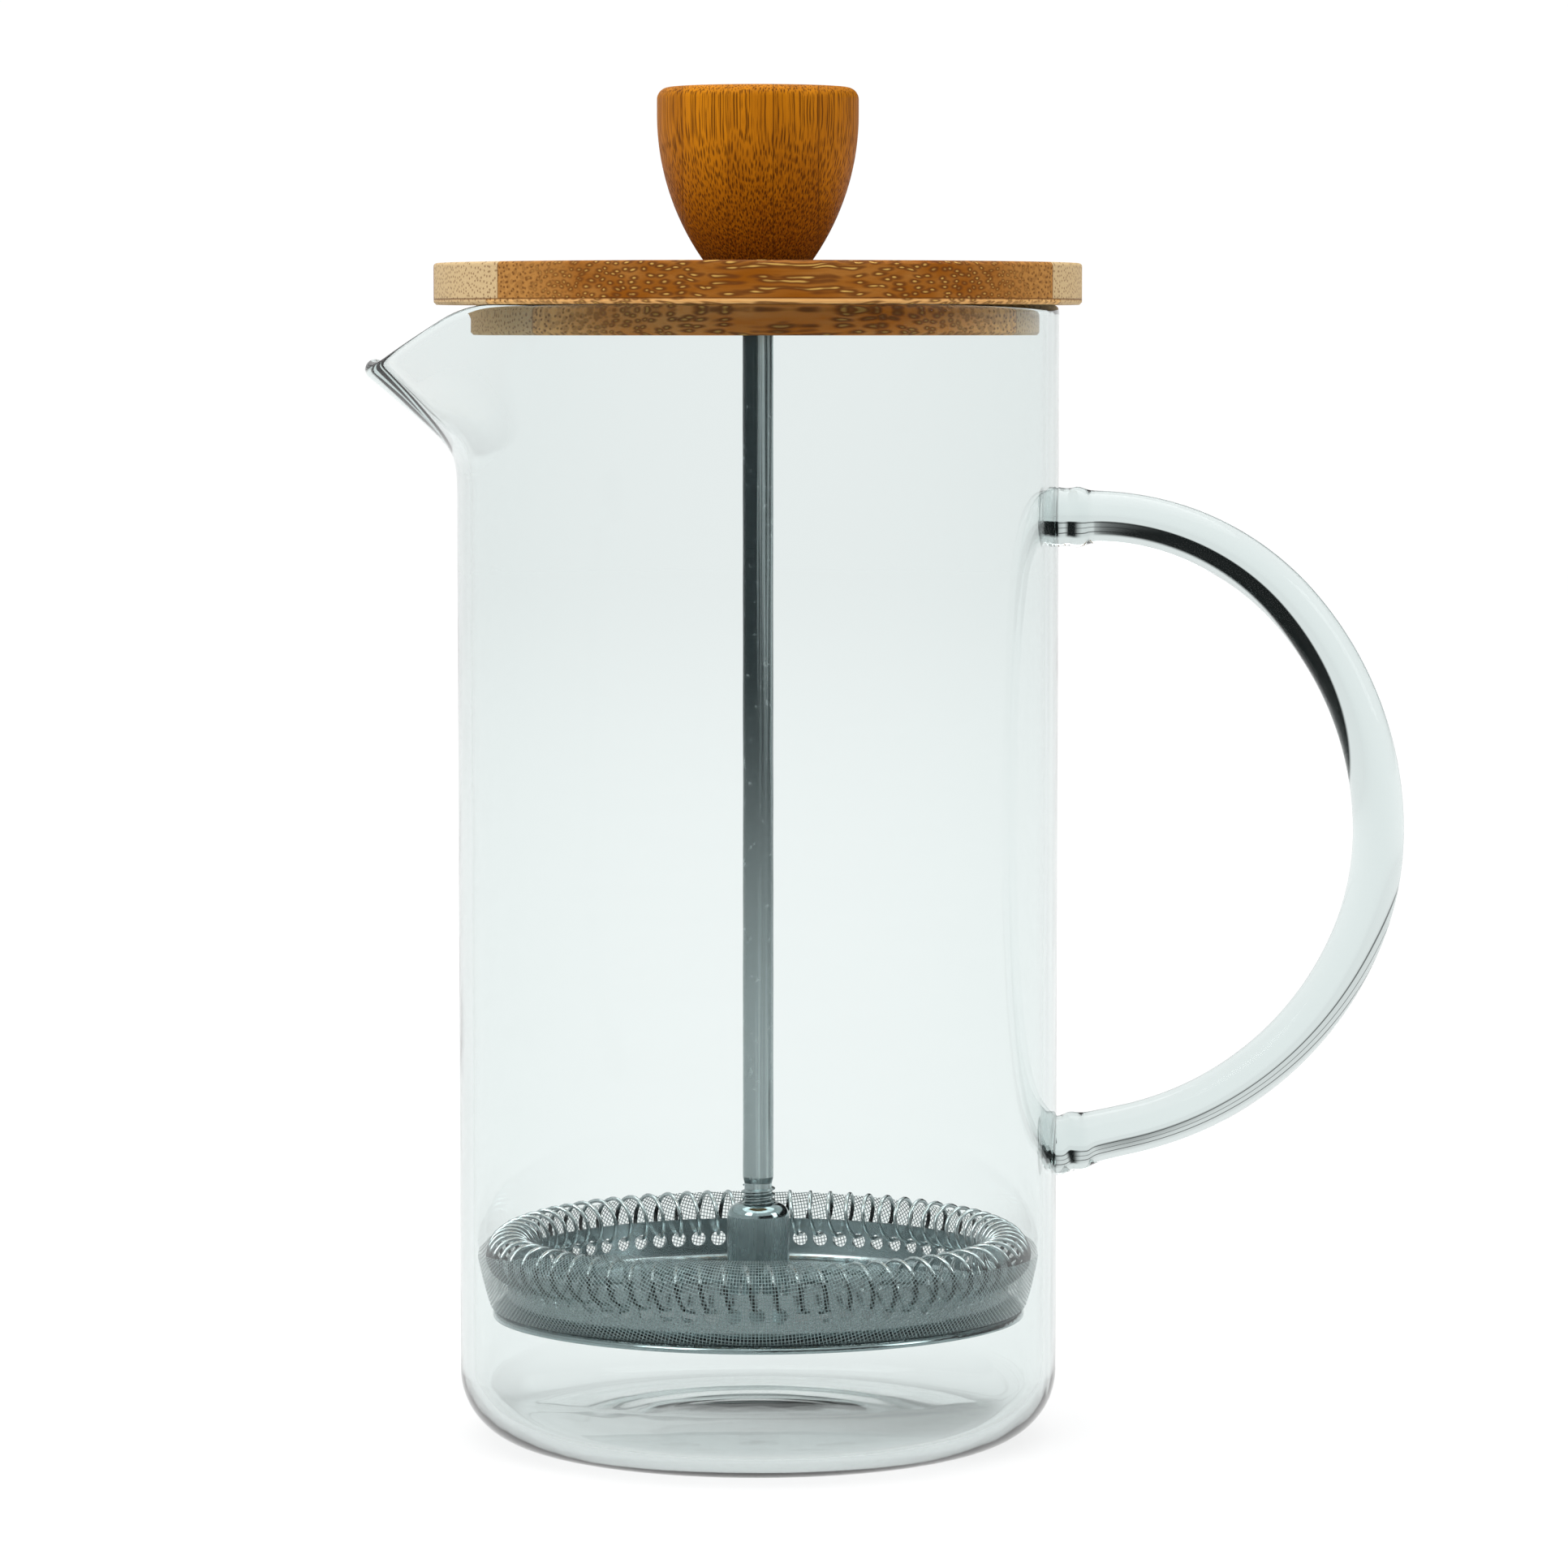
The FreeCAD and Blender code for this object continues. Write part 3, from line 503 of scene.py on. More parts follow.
    def lip_rows(self):
        """Rings up the outside of the lip, over the rim and down its inside."""
        tops = [self.top(a) - self.sizes.wall / 2 for a in self.azimuths]
        outer, inner, cap = [], [], []
        for index in range(1, self.LIP + 1):
            outer_row, inner_row = [], []
            for a, top in zip(self.azimuths, tops):
                level = self.low + (top - self.low) * index / self.LIP
                point = self.outside(a, level)
                thick = self.thickness(a, index / self.LIP)
                outer_row.append(point)
                inner_row.append(point - self.outward(a, level)[0] * thick)
            outer.append(outer_row)
            inner.append(inner_row)
        for index in range(1, self.CAP):
            turn = math.pi * index / self.CAP
            row = []
            for a, top, out, inn in zip(self.azimuths, tops, outer[-1], inner[-1]):
                arm = (out - inn) / 2
                rise = self.outward(a, top)[1] * arm.length
                row.append((out + inn) / 2 + arm * math.cos(turn) + rise * math.sin(turn))
            cap.append(row)
        return outer + cap + inner[::-1]

    def inside_rows(self, wall_levels):
        """Rings down the bore, round the inner corner and over the floor to its middle."""
        floor, corner = self.sizes.floor, self.sizes.inner_corner
        bore = self.sizes.radius - self.sizes.wall
        flat = bore - corner
        rows = [self.ring(bore, level) for level in wall_levels[::-1] if level > floor + corner]
        for index in range(self.INNER_CORNER + 1):
            turn = math.pi / 2 * index / self.INNER_CORNER
            level = floor + corner * (1 - math.sin(turn))
            rows.append(self.ring(flat + corner * math.cos(turn), level))
        for index in range(self.FLOOR - 1, 0, -1):
            share = index / self.FLOOR
            ringed = 1 - (1 - share) * self.RIPPLE_REACH
            wave = self.RIPPLE * math.sin(share * self.RIPPLE_RATE)
            wave *= max(0.0, math.sin(math.pi * ringed))
            row = self.ring(flat * share, floor + self.DOME * (1 - share ** 2) ** 2)
            for point, a in zip(row, self.azimuths):
                point.z += wave * (0.5 + 0.5 * math.sin(a + self.RIPPLE_TURN)) ** 2
            rows.append(row)
        rows.append([Vector((0, 0, floor + self.DOME))])
        return rows

    def rows(self, wall_levels):
        """Rings of points from the base's middle over the rim to the floor's middle."""
        wall = [self.ring(self.sizes.radius, level) for level in wall_levels]
        return self.base_rows() + wall + self.lip_rows() + self.inside_rows(wall_levels)


# Spans of degrees round the beaker with their steps, finer at the lip and at the handle.
AZIMUTH_SPANS = (
    (-180, -168, 0.75), (-168, -44, 2), (-44, -12, 1), (-12, 12, 0.5),
    (12, 44, 1), (44, 168, 2), (168, 180, 0.75),
)
# The wall's rings lie closer between these levels of the lower weld and above the upper one's.
LOWER_WELD_FROM, LOWER_WELD_TO, UPPER_WELD_FROM = 28 * MM, 40.5 * MM, 101 * MM
WELD_STEP, WALL_STEP, FOOT_STEP = 0.6 * MM, 4 * MM, 3 * MM
# Edges of the glass that are sharper than this stay sharp.
SHARP = math.radians(55)

# The handle's bends from the upper weld to the lower: radius, first and last angle. The second one
# holds the outermost point.
UPPER_WELD, UPPER_BEND, OUTERMOST, LOWER_BEND, LOWER_WELD = 90.0, 41.9, 0.0, -21.9, -77.5
HANDLE_ARCS = (
    (31.2 * MM, UPPER_WELD, UPPER_BEND),
    (39.7 * MM, UPPER_BEND, OUTERMOST),
    (33.0 * MM, OUTERMOST, LOWER_BEND),
    (37.6 * MM, LOWER_BEND, LOWER_WELD),
)
HANDLE_STEP, HANDLE_TURN_STEP, HANDLE_SIDES = 0.4 * MM, 1.5, 48
# How deep the rod's ends are sunk, as a share of the wall.
HANDLE_SUNK = 0.5
# The widening at a weld: a fillet that fades, and a bead. Shares of the flare and of its length.
FILLET, FILLET_FADE = 0.8, 0.8
BEAD, BEAD_PLACE, BEAD_WIDTH = 0.6, 0.9, 0.35


def spoke(degrees):
    """The direction from a bend's centre to the rod."""
    turn = math.radians(degrees)
    return Vector((math.cos(turn), 0, math.sin(turn)))


def heading(degrees):
    """The direction in which the rod goes on at an angle of a bend."""
    turn = math.radians(degrees)
    return Vector((math.sin(turn), 0, -math.cos(turn)))


def handle_stations(sizes):
    """Points of the handle's middle line and their directions, from the upper weld to the lower."""
    out = sizes.handle_reach - sizes.rod / 2
    wall = sizes.radius - sizes.wall * HANDLE_SUNK
    centres = {1: Vector((out - HANDLE_ARCS[1][0], 0, sizes.handle_level))}

    def on(index, degrees):
        return centres[index] + HANDLE_ARCS[index][0] * spoke(degrees)

    for index, beside, degrees in ((0, 1, UPPER_BEND), (2, 1, OUTERMOST), (3, 2, LOWER_BEND)):
        centres[index] = on(beside, degrees) - HANDLE_ARCS[index][0] * spoke(degrees)
    start = on(0, UPPER_WELD)
    stations = [
        (Vector((x, 0, start.z)), Vector(RIGHT))
        for x in (wall, *spread(((sizes.radius, start.x, HANDLE_STEP),)))
    ]
    for index, (_, first, last) in enumerate(HANDLE_ARCS):
        for degrees in spread(((first, last, -HANDLE_TURN_STEP),)):
            stations.append((on(index, degrees), heading(degrees)))
    end, way = on(3, LOWER_WELD), heading(LOWER_WELD)
    reach = (end.x - sizes.radius) / -way.x
    sunk = (end.x - wall) / -way.x
    for travel in (*spread(((0.0, reach, HANDLE_STEP),)), reach, sunk):
        stations.append((end + way * travel, way))
    return stations


def handle_mesh(sizes):
    """The bent glass rod, widened towards both welds, its ends sunk in the wall."""
    across = Vector(BACK)
    turns = [2 * math.pi * index / HANDLE_SIDES for index in range(HANDLE_SIDES)]
    rows = []
    for point, way in handle_stations(sizes):
        off = max(0.0, point.x - sizes.radius) / sizes.flare_length
        fillet = math.exp(-off / FILLET_FADE)
        bead = math.exp(-(((off - BEAD_PLACE) / BEAD_WIDTH) ** 2))
        radius = sizes.rod / 2 + sizes.flare * (FILLET * fillet + BEAD * bead)
        up = way.cross(across).normalized()
        rows.append([
            point + radius * (across * math.cos(turn) + up * math.sin(turn)) for turn in turns
        ])
    sunk = sizes.radius - sizes.wall * HANDLE_SUNK
    for ring in (rows[0], rows[-1]):
        for corner in ring:
            corner.x = math.sqrt(sunk ** 2 - corner.y ** 2)
    first = sum(rows[0], Vector()) / HANDLE_SIDES
    last = sum(rows[-1], Vector()) / HANDLE_SIDES
    return grid_mesh("handle_rod", [[first], *rows, [last]])


def glass_paint(settings):
    """Blown borosilicate: clear, faintly wavy, grey-green where it is thick."""
    material, paint = new_paint("blown_glass")
    place = paint.place()
    flowing = paint.vector("MULTIPLY", place, (0.09, 0.09, 0.035))
    waves = paint.noise(flowing, 1.0, 2.0, 0.45)
    specks = paint.noise(place, 0.5, 2.0, 0.6)
    haze, sheen, waviness = 0.012, (0.1, 0.1, 0.1), 0.06
    shader = paint.node("BsdfPrincipled", None, {
        "Base Color": rgba(settings.tint),
        "Roughness": paint.ease(specks, 0.72, 0.95) * haze,
        "IOR": settings.ior,
        "Transmission Weight": 1.0,
        "Specular Tint": rgba(sheen),
        "Normal": paint.bump(waves, waviness, 0.5),
    })
    absorb = paint.node("VolumeAbsorption", None, {
        "Color": rgba(settings.absorb), "Density": settings.depth,
    })
    paint.node("OutputMaterial", None, {"Surface": shader, "Volume": absorb})
    return material


def bundles(paint, across, deep, along, spacing, sway, chance):
    """Distance from the nearest fibre bundle, in spacings. Bundles sway along the grain."""
    bends = paint.join(along * 0.28, across * 0.4, deep * 0.4)
    sockets = {"Vector": bends, "Scale": 1.0, "Detail": 1.0}
    drift = paint.node("TexNoise", None, sockets, output="Color")
    # The bundles of each strip are shifted by the strip's own chance.
    laid = paint.join((across + chance * 31.0) / spacing, deep / spacing + chance * 23.0, 0.0)
    laid = paint.vector("ADD", laid, paint.vector("MULTIPLY", drift, (sway, sway, 0.0)))
    sockets = {"Vector": laid, "Scale": 1.0, "Randomness": 0.8}
    return paint.node("TexVoronoi", {"voronoi_dimensions": "2D", "feature": "F1"}, sockets)


# Where a strip begins in each ply, in millimetres across the grain, and the ply's random seed.
TOP_PLY, PLUG_PLY = (-20.6, 3.0), (-18.6, 11.0)
# The level of the glue between the plies, and that of the rim, above which the lower ply is paler.
GLUE_LEVEL, RIM_LEVEL = LID_LOW.z / MM, BEAKER_HIGH.z / MM
# Width of the knob's strips and where they begin, and the random seed of the knob.
KNOB_STRIP, KNOB_STRIP_START, KNOB_SEED = 5.2, -3.4, 5.0


def lid_bamboo(name, settings, ply, body, young, pale_above=None):
    """A lid ply of glued strips: the bundles show as dots at its sides and as dashes in front."""
    offset, seed = ply
    material, paint = new_paint(name)
    place = paint.place()
    turn = settings.slant
    run = paint.along(place, (math.cos(turn), math.sin(turn), 0.0))
    side = paint.along(place, (-math.sin(turn), math.cos(turn), 0.0))
    rise = paint.along(place, UP)
    strip, spacing = settings.strip / MM, settings.bundle / MM
    steps = (side - offset) / strip
    count = paint.whole(steps)
    within = paint.fold(steps)
    chance = paint.chance(count, seed)
    pale = 1 - paint.math("PINGPONG", count, 1.0)
    spots = bundles(paint, side, rise, run, spacing, 1.3, chance)
    small = bundles(paint, side, rise, run, spacing * 0.9, 0.7, chance + 0.37)
    fibres = paint.join(run * 0.06, side * 6.0, rise * 6.0 + chance * 9.0)
    fine = paint.noise(fibres, 1.0, 3.0, 0.6)
    clouds = paint.join(run * 0.05, side * 0.35, rise * 0.35 + chance * 5.0)
    broad = paint.noise(clouds, 1.0, 3.0, 0.6)

    # Every other strip is pale. The rest are ripe at one side, where each bundle has a pale heart
    # in a dark sheath, and have small dark specks at the other.
    ripe = 1 - paint.ease(within, 0.35, 0.95)
    heart = (1 - paint.ease(spots, 0.05, 0.22)) * ripe * (1 - pale) * paint.ease(broad, 0.25, 0.55)
    halo = (1 - paint.ease(spots, 0.24, 0.56)) * (0.35 + ripe * 0.65) * (1 - pale)
    specks = (1 - paint.ease(small, 0.12, 0.32)) * paint.larger(pale * 0.75, (1 - ripe) * 0.95)
    shade = ripe
    if pale_above is not None:
        shade = ripe * (1 - 0.7 * paint.ease(rise, pale_above - 0.3, pale_above))
    ground = paint.mix(shade, young, body)
    ground = paint.mix(paint.ease(broad, 0.35, 0.75) * 0.5, ground, young)
    ground = paint.mix(pale, ground, settings.straw)
    ground = paint.mix(paint.ease(fine, 0.45, 0.75) * 0.35, ground, body)
    ground = paint.mix(halo * 0.80, ground, settings.sheath)
    ground = paint.mix(specks * 0.8, ground, settings.sheath)
    ground = paint.mix(heart * 0.70, ground, settings.core)

    # Glue shows between the strips and between the plies.
    edge = 1 - paint.ease(paint.smaller(within, 1 - within) * strip, 0.03, 0.18)
    line = 1 - paint.ease(abs(rise - GLUE_LEVEL), 0.03, 0.16)
    ground = paint.mix(paint.larger(edge * 0.4, line * 0.65), ground, settings.sheath)
    paint.surface(
        Base_Color=ground,
        Roughness=0.46 + fine * 0.22 - heart * 0.08,
        Specular_IOR_Level=0.05,
        Normal=paint.bump(fine * 0.4 + heart * 0.5 - halo * 0.4 - edge * 0.6 - line, 0.4, 0.12),
    )
    return material


def knob_bamboo(settings):
    """The turned knob: upright grain, long streaks on its sides and dashes where it curves in."""
    material, paint = new_paint("bamboo_knob")
    place = paint.place()
    side = paint.along(place, RIGHT)
    deep = paint.along(place, BACK)
    rise = paint.along(place, UP)
    spacing = settings.bundle / MM
    steps = (side - KNOB_STRIP_START) / KNOB_STRIP
    count = paint.whole(steps)
    within = paint.fold(steps)
    chance = paint.chance(count, KNOB_SEED)
    spots = bundles(paint, side, deep, rise, spacing * 0.58, 1.0, chance)
    small = bundles(paint, side, deep, rise, spacing * 0.40, 1.0, chance + 0.6)
    fibres = paint.join(side * 5.0, deep * 5.0, rise * 0.18 + chance * 9.0)
    fine = paint.noise(fibres, 1.0, 3.0, 0.6)
    clouds = paint.join(side * 0.4, deep * 0.4, rise * 0.08 + chance * 5.0)
    broad = paint.noise(clouds, 1.0, 2.0, 0.5)

    # Painted light: the knob is painted lighter towards the top and darker at its foot, as light
    # falls from above. The dashes are the cut ends of the bundles.
    high = paint.ease(rise, KNOB_LOW.z / MM - 1.0, KNOB_HIGH.z / MM - 4.0)
    short = (1 - paint.ease(small, 0.12, 0.36)) * 0.7
    dashes = paint.larger(1 - paint.ease(spots, 0.12, 0.34), short)
    ground = paint.mix(high, settings.knob, settings.knob_painted_light_and_fibres)
    cloudy = paint.ease(broad + chance * 0.25, 0.4, 0.85) * 0.45
    ground = paint.mix(cloudy, ground, settings.knob)
    ground = paint.mix(paint.ease(fine, 0.40, 0.62) * 0.35, ground, settings.knob_painted_light_and_fibres)
    ground = paint.mix(dashes * (0.88 - high * 0.12), ground, settings.knob_dark)
    edge = 1 - paint.ease(paint.smaller(within, 1 - within) * KNOB_STRIP, 0.03, 0.14)
    ground = paint.mix(edge * (0.15 + chance * 0.4), ground, settings.knob_dark)
    paint.surface(
        Base_Color=ground,
        Roughness=0.40 + fine * 0.2 + dashes * 0.12,
        Specular_IOR_Level=0.06,
        Normal=paint.bump(fine * 0.4 - dashes * 0.6 - edge * 0.5, 0.4, 0.10),
    )
    return material


# The filter's wall shades what lies behind it, and the shade ends between these levels, in
# millimetres.
WALL_SHADE = (22.4, 23.2)
# Radii in millimetres beyond which plate and coil lie in that shade, and how much light is left.
PLATE_SHADE, COIL_SHADE = (29.1, 0.8), (30.4, 0.08)
# The hub is polished above this level in millimetres.
HUB_POLISH = 25.9


def steel_paint(name, shade, streak, rough, spread_rough, relief, shaded=None, polish_from=None):
    """Stainless steel with streaks along its working direction and faint handling marks."""
    material, paint = new_paint(name)
    place = paint.place()
    drawn = paint.noise(paint.vector("MULTIPLY", place, streak), 1.0, 4.0, 0.62)
    marks = paint.noise(place, 0.35, 4.0, 0.6)
    pits = paint.noise(place, 3.5, 2.0, 0.5)
    roughness = rough + (drawn - 0.5) * spread_rough + paint.ease(marks, 0.5, 0.8) * 0.08
    if polish_from is not None:
        polish = paint.ease(paint.along(place, UP), polish_from, polish_from + 0.4)
        roughness = roughness * (1 - 0.8 * polish)
    darker = dimmed(shade, 0.72)
    ground = paint.mix(paint.ease(drawn, 0.40, 0.72) * 0.55, shade, darker)
    ground = paint.mix(paint.ease(pits, 0.62, 0.75) * 0.2, ground, darker)
    if shaded is not None:
        beyond, left = shaded
        out = paint.distance(paint.vector("MULTIPLY", place, (1.0, 1.0, 0.0)))
        low = 1 - paint.ease(paint.along(place, UP), *WALL_SHADE)
        ground = paint.mix(paint.ease(out, beyond, beyond + 0.2) * low, ground, dimmed(shade, left))
    paint.surface(
        Base_Color=ground,
        Metallic=1.0,
        Roughness=paint.larger(roughness, 0.04),
        Normal=paint.bump(drawn + pits * 0.2, 0.25, relief),
    )
    return material


def streaked_paint(name, settings, coarse, fine, seed, painted_reflection_below):
    """Bright drawn steel: light and dark streaks along the piece, partly drawn marks and partly
    painted reflections, with fine die lines and a painted floor reflection low down.
    """
    material, paint = new_paint(name)
    place = paint.place()
    shifted = paint.vector("ADD", paint.vector("MULTIPLY", place, coarse), (seed, seed, seed))
    wide = paint.noise(shifted, 1.0, 2.0, 0.5)
    lines = paint.noise(paint.vector("MULTIPLY", place, fine), 1.0, 3.0, 0.6)
    scuffs = paint.noise(place, 0.9, 4.0, 0.65)
    light = paint.ease(wide + (lines - 0.5) * 0.25, 0.45, 0.68)
    # Painted reflection: low on the piece the steel is painted lighter, as if mirroring the pale
    # floor.
    low = 1 - paint.ease(paint.along(place, UP), *painted_reflection_below)
    light = paint.larger(light, low * (0.55 + light * 0.45))
    ground = paint.mix(light, settings.shade, settings.steel_light)
    ground = paint.mix(paint.ease(scuffs, 0.60, 0.72) * 0.35, ground, settings.steel_light)
    paint.surface(
        Base_Color=ground,
        Metallic=1.0,
        Roughness=0.14 + lines * 0.14 + paint.ease(scuffs, 0.55, 0.75) * 0.10,
        Normal=paint.bump(lines, 0.2, 0.03),
    )
    return material


def weave_paint(settings):
    """Plain woven wire: holes between the wires are open."""
    material, paint = new_paint("woven_filter")
    laid = paint.node("UVMap", {"uv_map": "weave"})
    first = paint.along(laid, RIGHT) / (settings.pitch / MM)
    second = paint.along(laid, BACK) / (settings.pitch / MM)
    thin = settings.mesh_wire / settings.pitch / 2

    def wire(across, along):
        off = abs(paint.fold(across) - 0.5)
        over = paint.math("COSINE", (along + paint.whole(across)) * math.pi, 0.0)
        round_top = 1 - (off / thin) ** 2
        return 1 - paint.ease(off, thin * 0.9, thin * 1.1), round_top + over * 0.5

    there_a, top_a = wire(first, second)
    there_b, top_b = wire(second, first)
    there = paint.larger(there_a, there_b)
    top = paint.larger(top_a * there_a, top_b * there_b)
    tone = paint.noise(paint.place(), 0.25, 3.0)
    ground = paint.mix(paint.ease(tone, 0.35, 0.7) * 0.5, settings.weave, settings.steel)
    paint.surface(
        Base_Color=ground,
        Metallic=1.0,
        Roughness=0.26 + tone * 0.12,
        Alpha=there,
        Normal=paint.bump(top, 0.6, 0.06),
    )
    return material


# The mesh's edge is folded over the coil: where round the filter, over how many degrees, how much.
FOLDS = ((-100.0, 34.0, 1.5), (90.0, 50.0, 0.42))
FOLD_LEAST, FOLD_MORE, FRAY = 9.0, 85.0, 0.035
# The cup's hole and the rounding of its foot, then how far foot, rim and floor lie in its solid.
CUP_HOLE, CUP_BEND = 2.6 * MM, 0.8 * MM
CUP_FOOT, CUP_RIM, CUP_LIFT = 1.5 * MM, 0.2 * MM, 0.1 * MM
# Distance of the fold from the coil, and how uneven the wall is.
FOLD_GAP, UNEVEN = 0.4 * MM, 0.07 * MM
# Numbers of steps round the cup, over its floor, foot, wall and fold.
CUP_ROUND, CUP_FLOOR, CUP_CORNER, CUP_WALL, CUP_FOLD = 360, 8, 5, 10, 10


def ragged(angle):
    """An uneven line round the filter, between -1 and 1."""
    waves = ((7, 1, 0.5), (23, 2, 0.3), (61, 0, 0.2))
    return sum(math.sin(angle * rate + start) * share for rate, start, share in waves)


def fold_end(angle):
    """How far round the coil the mesh is folded, as a turn from level."""
    cover = FRAY * ragged(angle)
    for centre, width, share in FOLDS:
        off = (math.degrees(angle) - centre + 180) % 360 - 180
        cover += share * math.exp(-((off / width) ** 2))
    return math.radians(FOLD_LEAST + FOLD_MORE * min(1.0, max(0.0, cover)))


def cup_profile(low, foot, rim, top):
    """Radius and level from the cup's hole over its floor and up its wall."""
    span = foot - CUP_BEND - CUP_HOLE
    profile = [(CUP_HOLE + span * index / CUP_FLOOR, low) for index in range(CUP_FLOOR + 1)]
    for index in range(1, CUP_CORNER + 1):
        turn = math.pi / 2 * index / CUP_CORNER
        radius = foot - CUP_BEND + CUP_BEND * math.sin(turn)
        profile.append((radius, low + CUP_BEND * (1 - math.cos(turn))))
    for index in range(1, CUP_WALL + 1):
        share = index / CUP_WALL
        level = low + CUP_BEND + (top - low - CUP_BEND) * share
        profile.append((foot + (rim - foot) * share ** 0.8, level))
    return profile


def mesh_cup(settings):
    """The pressed cup of woven wire, its edge folded over the coil, most of all in front."""
    angles = [2 * math.pi * index / CUP_ROUND for index in range(CUP_ROUND)]
    low, top = MESH_LOW.z + CUP_LIFT, settings.ring_level
    rim = MESH_HIGH.x - CUP_RIM
    profile = cup_profile(low, MESH_HIGH.x - CUP_FOOT, rim, top)
    travel = [profile[0][0]]
    for (r0, z0), (r1, z1) in zip(profile, profile[1:]):
        travel.append(travel[-1] + math.hypot(r1 - r0, z1 - z0))
    reach, rise = rim - settings.ring, settings.turn + settings.wire_radius + FOLD_GAP

    def point(index, angle, inset):
        """A point of the cup and its distance from the cup's middle along the sheet."""
        uneven = ragged(angle) * UNEVEN
        if index <= CUP_FLOOR:
            radius, level = profile[index]
            far = travel[index]
            level += inset
        elif index < len(profile):
            radius, level = profile[index]
            far = travel[index]
            radius += uneven * (level - low) / (top - low) - inset
        else:
            turn = fold_end(angle) * (index - len(profile) + 1) / CUP_FOLD
            radius = settings.ring + (reach - inset) * math.cos(turn) + uneven
            level = top + (rise - inset) * math.sin(turn)
            far = travel[-1] + rise * turn
        return Vector((radius * math.cos(angle), radius * math.sin(angle), level)), far

    count = len(profile) + CUP_FOLD
    order = [*range(count), *reversed(range(count))]
    insets = [0.0] * count + [settings.sheet] * count
    made = [[point(index, angle, inset) for angle in angles] for index, inset in zip(order, insets)]
    rows = [[corner for corner, _ in ring] for ring in made]
    mesh = grid_mesh("filter_mesh_cup", rows, closed_rows=True)
    layer = mesh.uv_layers.new(name="weave")
    for loop in mesh.loops:
        ring, index = divmod(loop.vertex_index, len(angles))
        far = made[ring][index][1] / MM
        layer.data[loop.index].uv = (far * math.cos(angles[index]), far * math.sin(angles[index]))
    face_outward(mesh)
    return mesh


# Steps of one turn of the coil, sides of its wire, and where its first turn lies.
COIL_STEPS, COIL_SIDES, COIL_START = 24, 10, math.radians(52.5)


def coil_mesh(settings):
    """The coil: wire wound round a ring, one turn through each eye of the plate."""
    up = Vector(UP)
    turns = [2 * math.pi * index / COIL_SIDES for index in range(COIL_SIDES)]
    rows = []
    for index in range(settings.turns * COIL_STEPS):
        phase = 2 * math.pi * index / COIL_STEPS
        azimuth = COIL_START + phase / settings.turns
        out = Vector((math.cos(azimuth), math.sin(azimuth), 0))
        round_way = Vector((-math.sin(azimuth), math.cos(azimuth), 0))
        normal = out * math.sin(phase) + up * math.cos(phase)
        radius = settings.ring + settings.turn * math.sin(phase)
        point = out * radius + up * (settings.ring_level + settings.turn * math.cos(phase))
        way = settings.turn * (out * math.cos(phase) - up * math.sin(phase))
        way = (way + round_way * radius / settings.turns).normalized()
        side = way.cross(normal).normalized()
        rows.append([
            point + settings.wire_radius * (normal * math.cos(turn) + side * math.sin(turn))
            for turn in turns
        ])
    mesh = grid_mesh("coil_spring_wire", rows, closed_rows=True)
    face_outward(mesh)
    return mesh


class PRESS_OT_glass(bpy.types.Operator):
    """Blow the beaker with its lip and fuse the handle to it"""

    bl_idname = "press.glass"
    bl_label = "Glass"

    def execute(self, context):
        sizes = context.scene.press_glass
        form = GlassForm(sizes, [math.radians(degrees) for degrees in spread(AZIMUTH_SPANS)])
        levels = spread((
            (sizes.base_corner + 2 * MM, LOWER_WELD_FROM, FOOT_STEP),
            (LOWER_WELD_FROM, LOWER_WELD_TO, WELD_STEP),
            (LOWER_WELD_TO, UPPER_WELD_FROM, WALL_STEP),
            (UPPER_WELD_FROM, form.low, WELD_STEP),
        ))
        material = glass_paint(sizes)
        body = grid_mesh("blown_glass", form.rows([*levels, form.low]))
        face_outward(body)
        rod = handle_mesh(sizes)
        face_outward(rod)
        beaker = new_object("glass_beaker_and_handle", body, material)
        handle = new_object("handle_tool", rod, material)
        union = beaker.modifiers.new("weld", "BOOLEAN")
        union.operation = "UNION"
        union.solver = "EXACT"
        union.object = handle
        context.view_layer.update()
        welded = beaker.evaluated_get(context.evaluated_depsgraph_get())
        made = bpy.data.meshes.new_from_object(welded)
        beaker.modifiers.clear()
        beaker.data = made
        made.shade_smooth()
        made.set_sharp_from_angle(angle=SHARP)
        bpy.data.objects.remove(handle)
        if len(made.polygons) <= len(body.polygons):
            raise RuntimeError("the handle didn't fuse with the beaker")
        beaker.visible_shadow = False
        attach(beaker, "beaker")
        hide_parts("beaker", "handle")
        return {"FINISHED"}


class PRESS_OT_bamboo(bpy.types.Operator):
    """Give the lid's two plies and the knob their bamboo"""

    bl_idname = "press.bamboo"
    bl_label = "Bamboo"

    def execute(self, context):
        settings = context.scene.press_bamboo
        top = lid_bamboo(
            "bamboo_top_ply", settings, TOP_PLY, settings.amber, settings.amber_light
        )
        # The lower ply is painted in lifted colours, painted light for the shade it lies in.
        plug = lid_bamboo(
            "bamboo_plug_ply", settings, PLUG_PLY, settings.plug, settings.plug_young_painted_lift, RIM_LEVEL
        )
        dress("lid_top_ply", top)
        dress("lid_plug_ply", plug)
        dress("knob", knob_bamboo(settings))
        return {"FINISHED"}


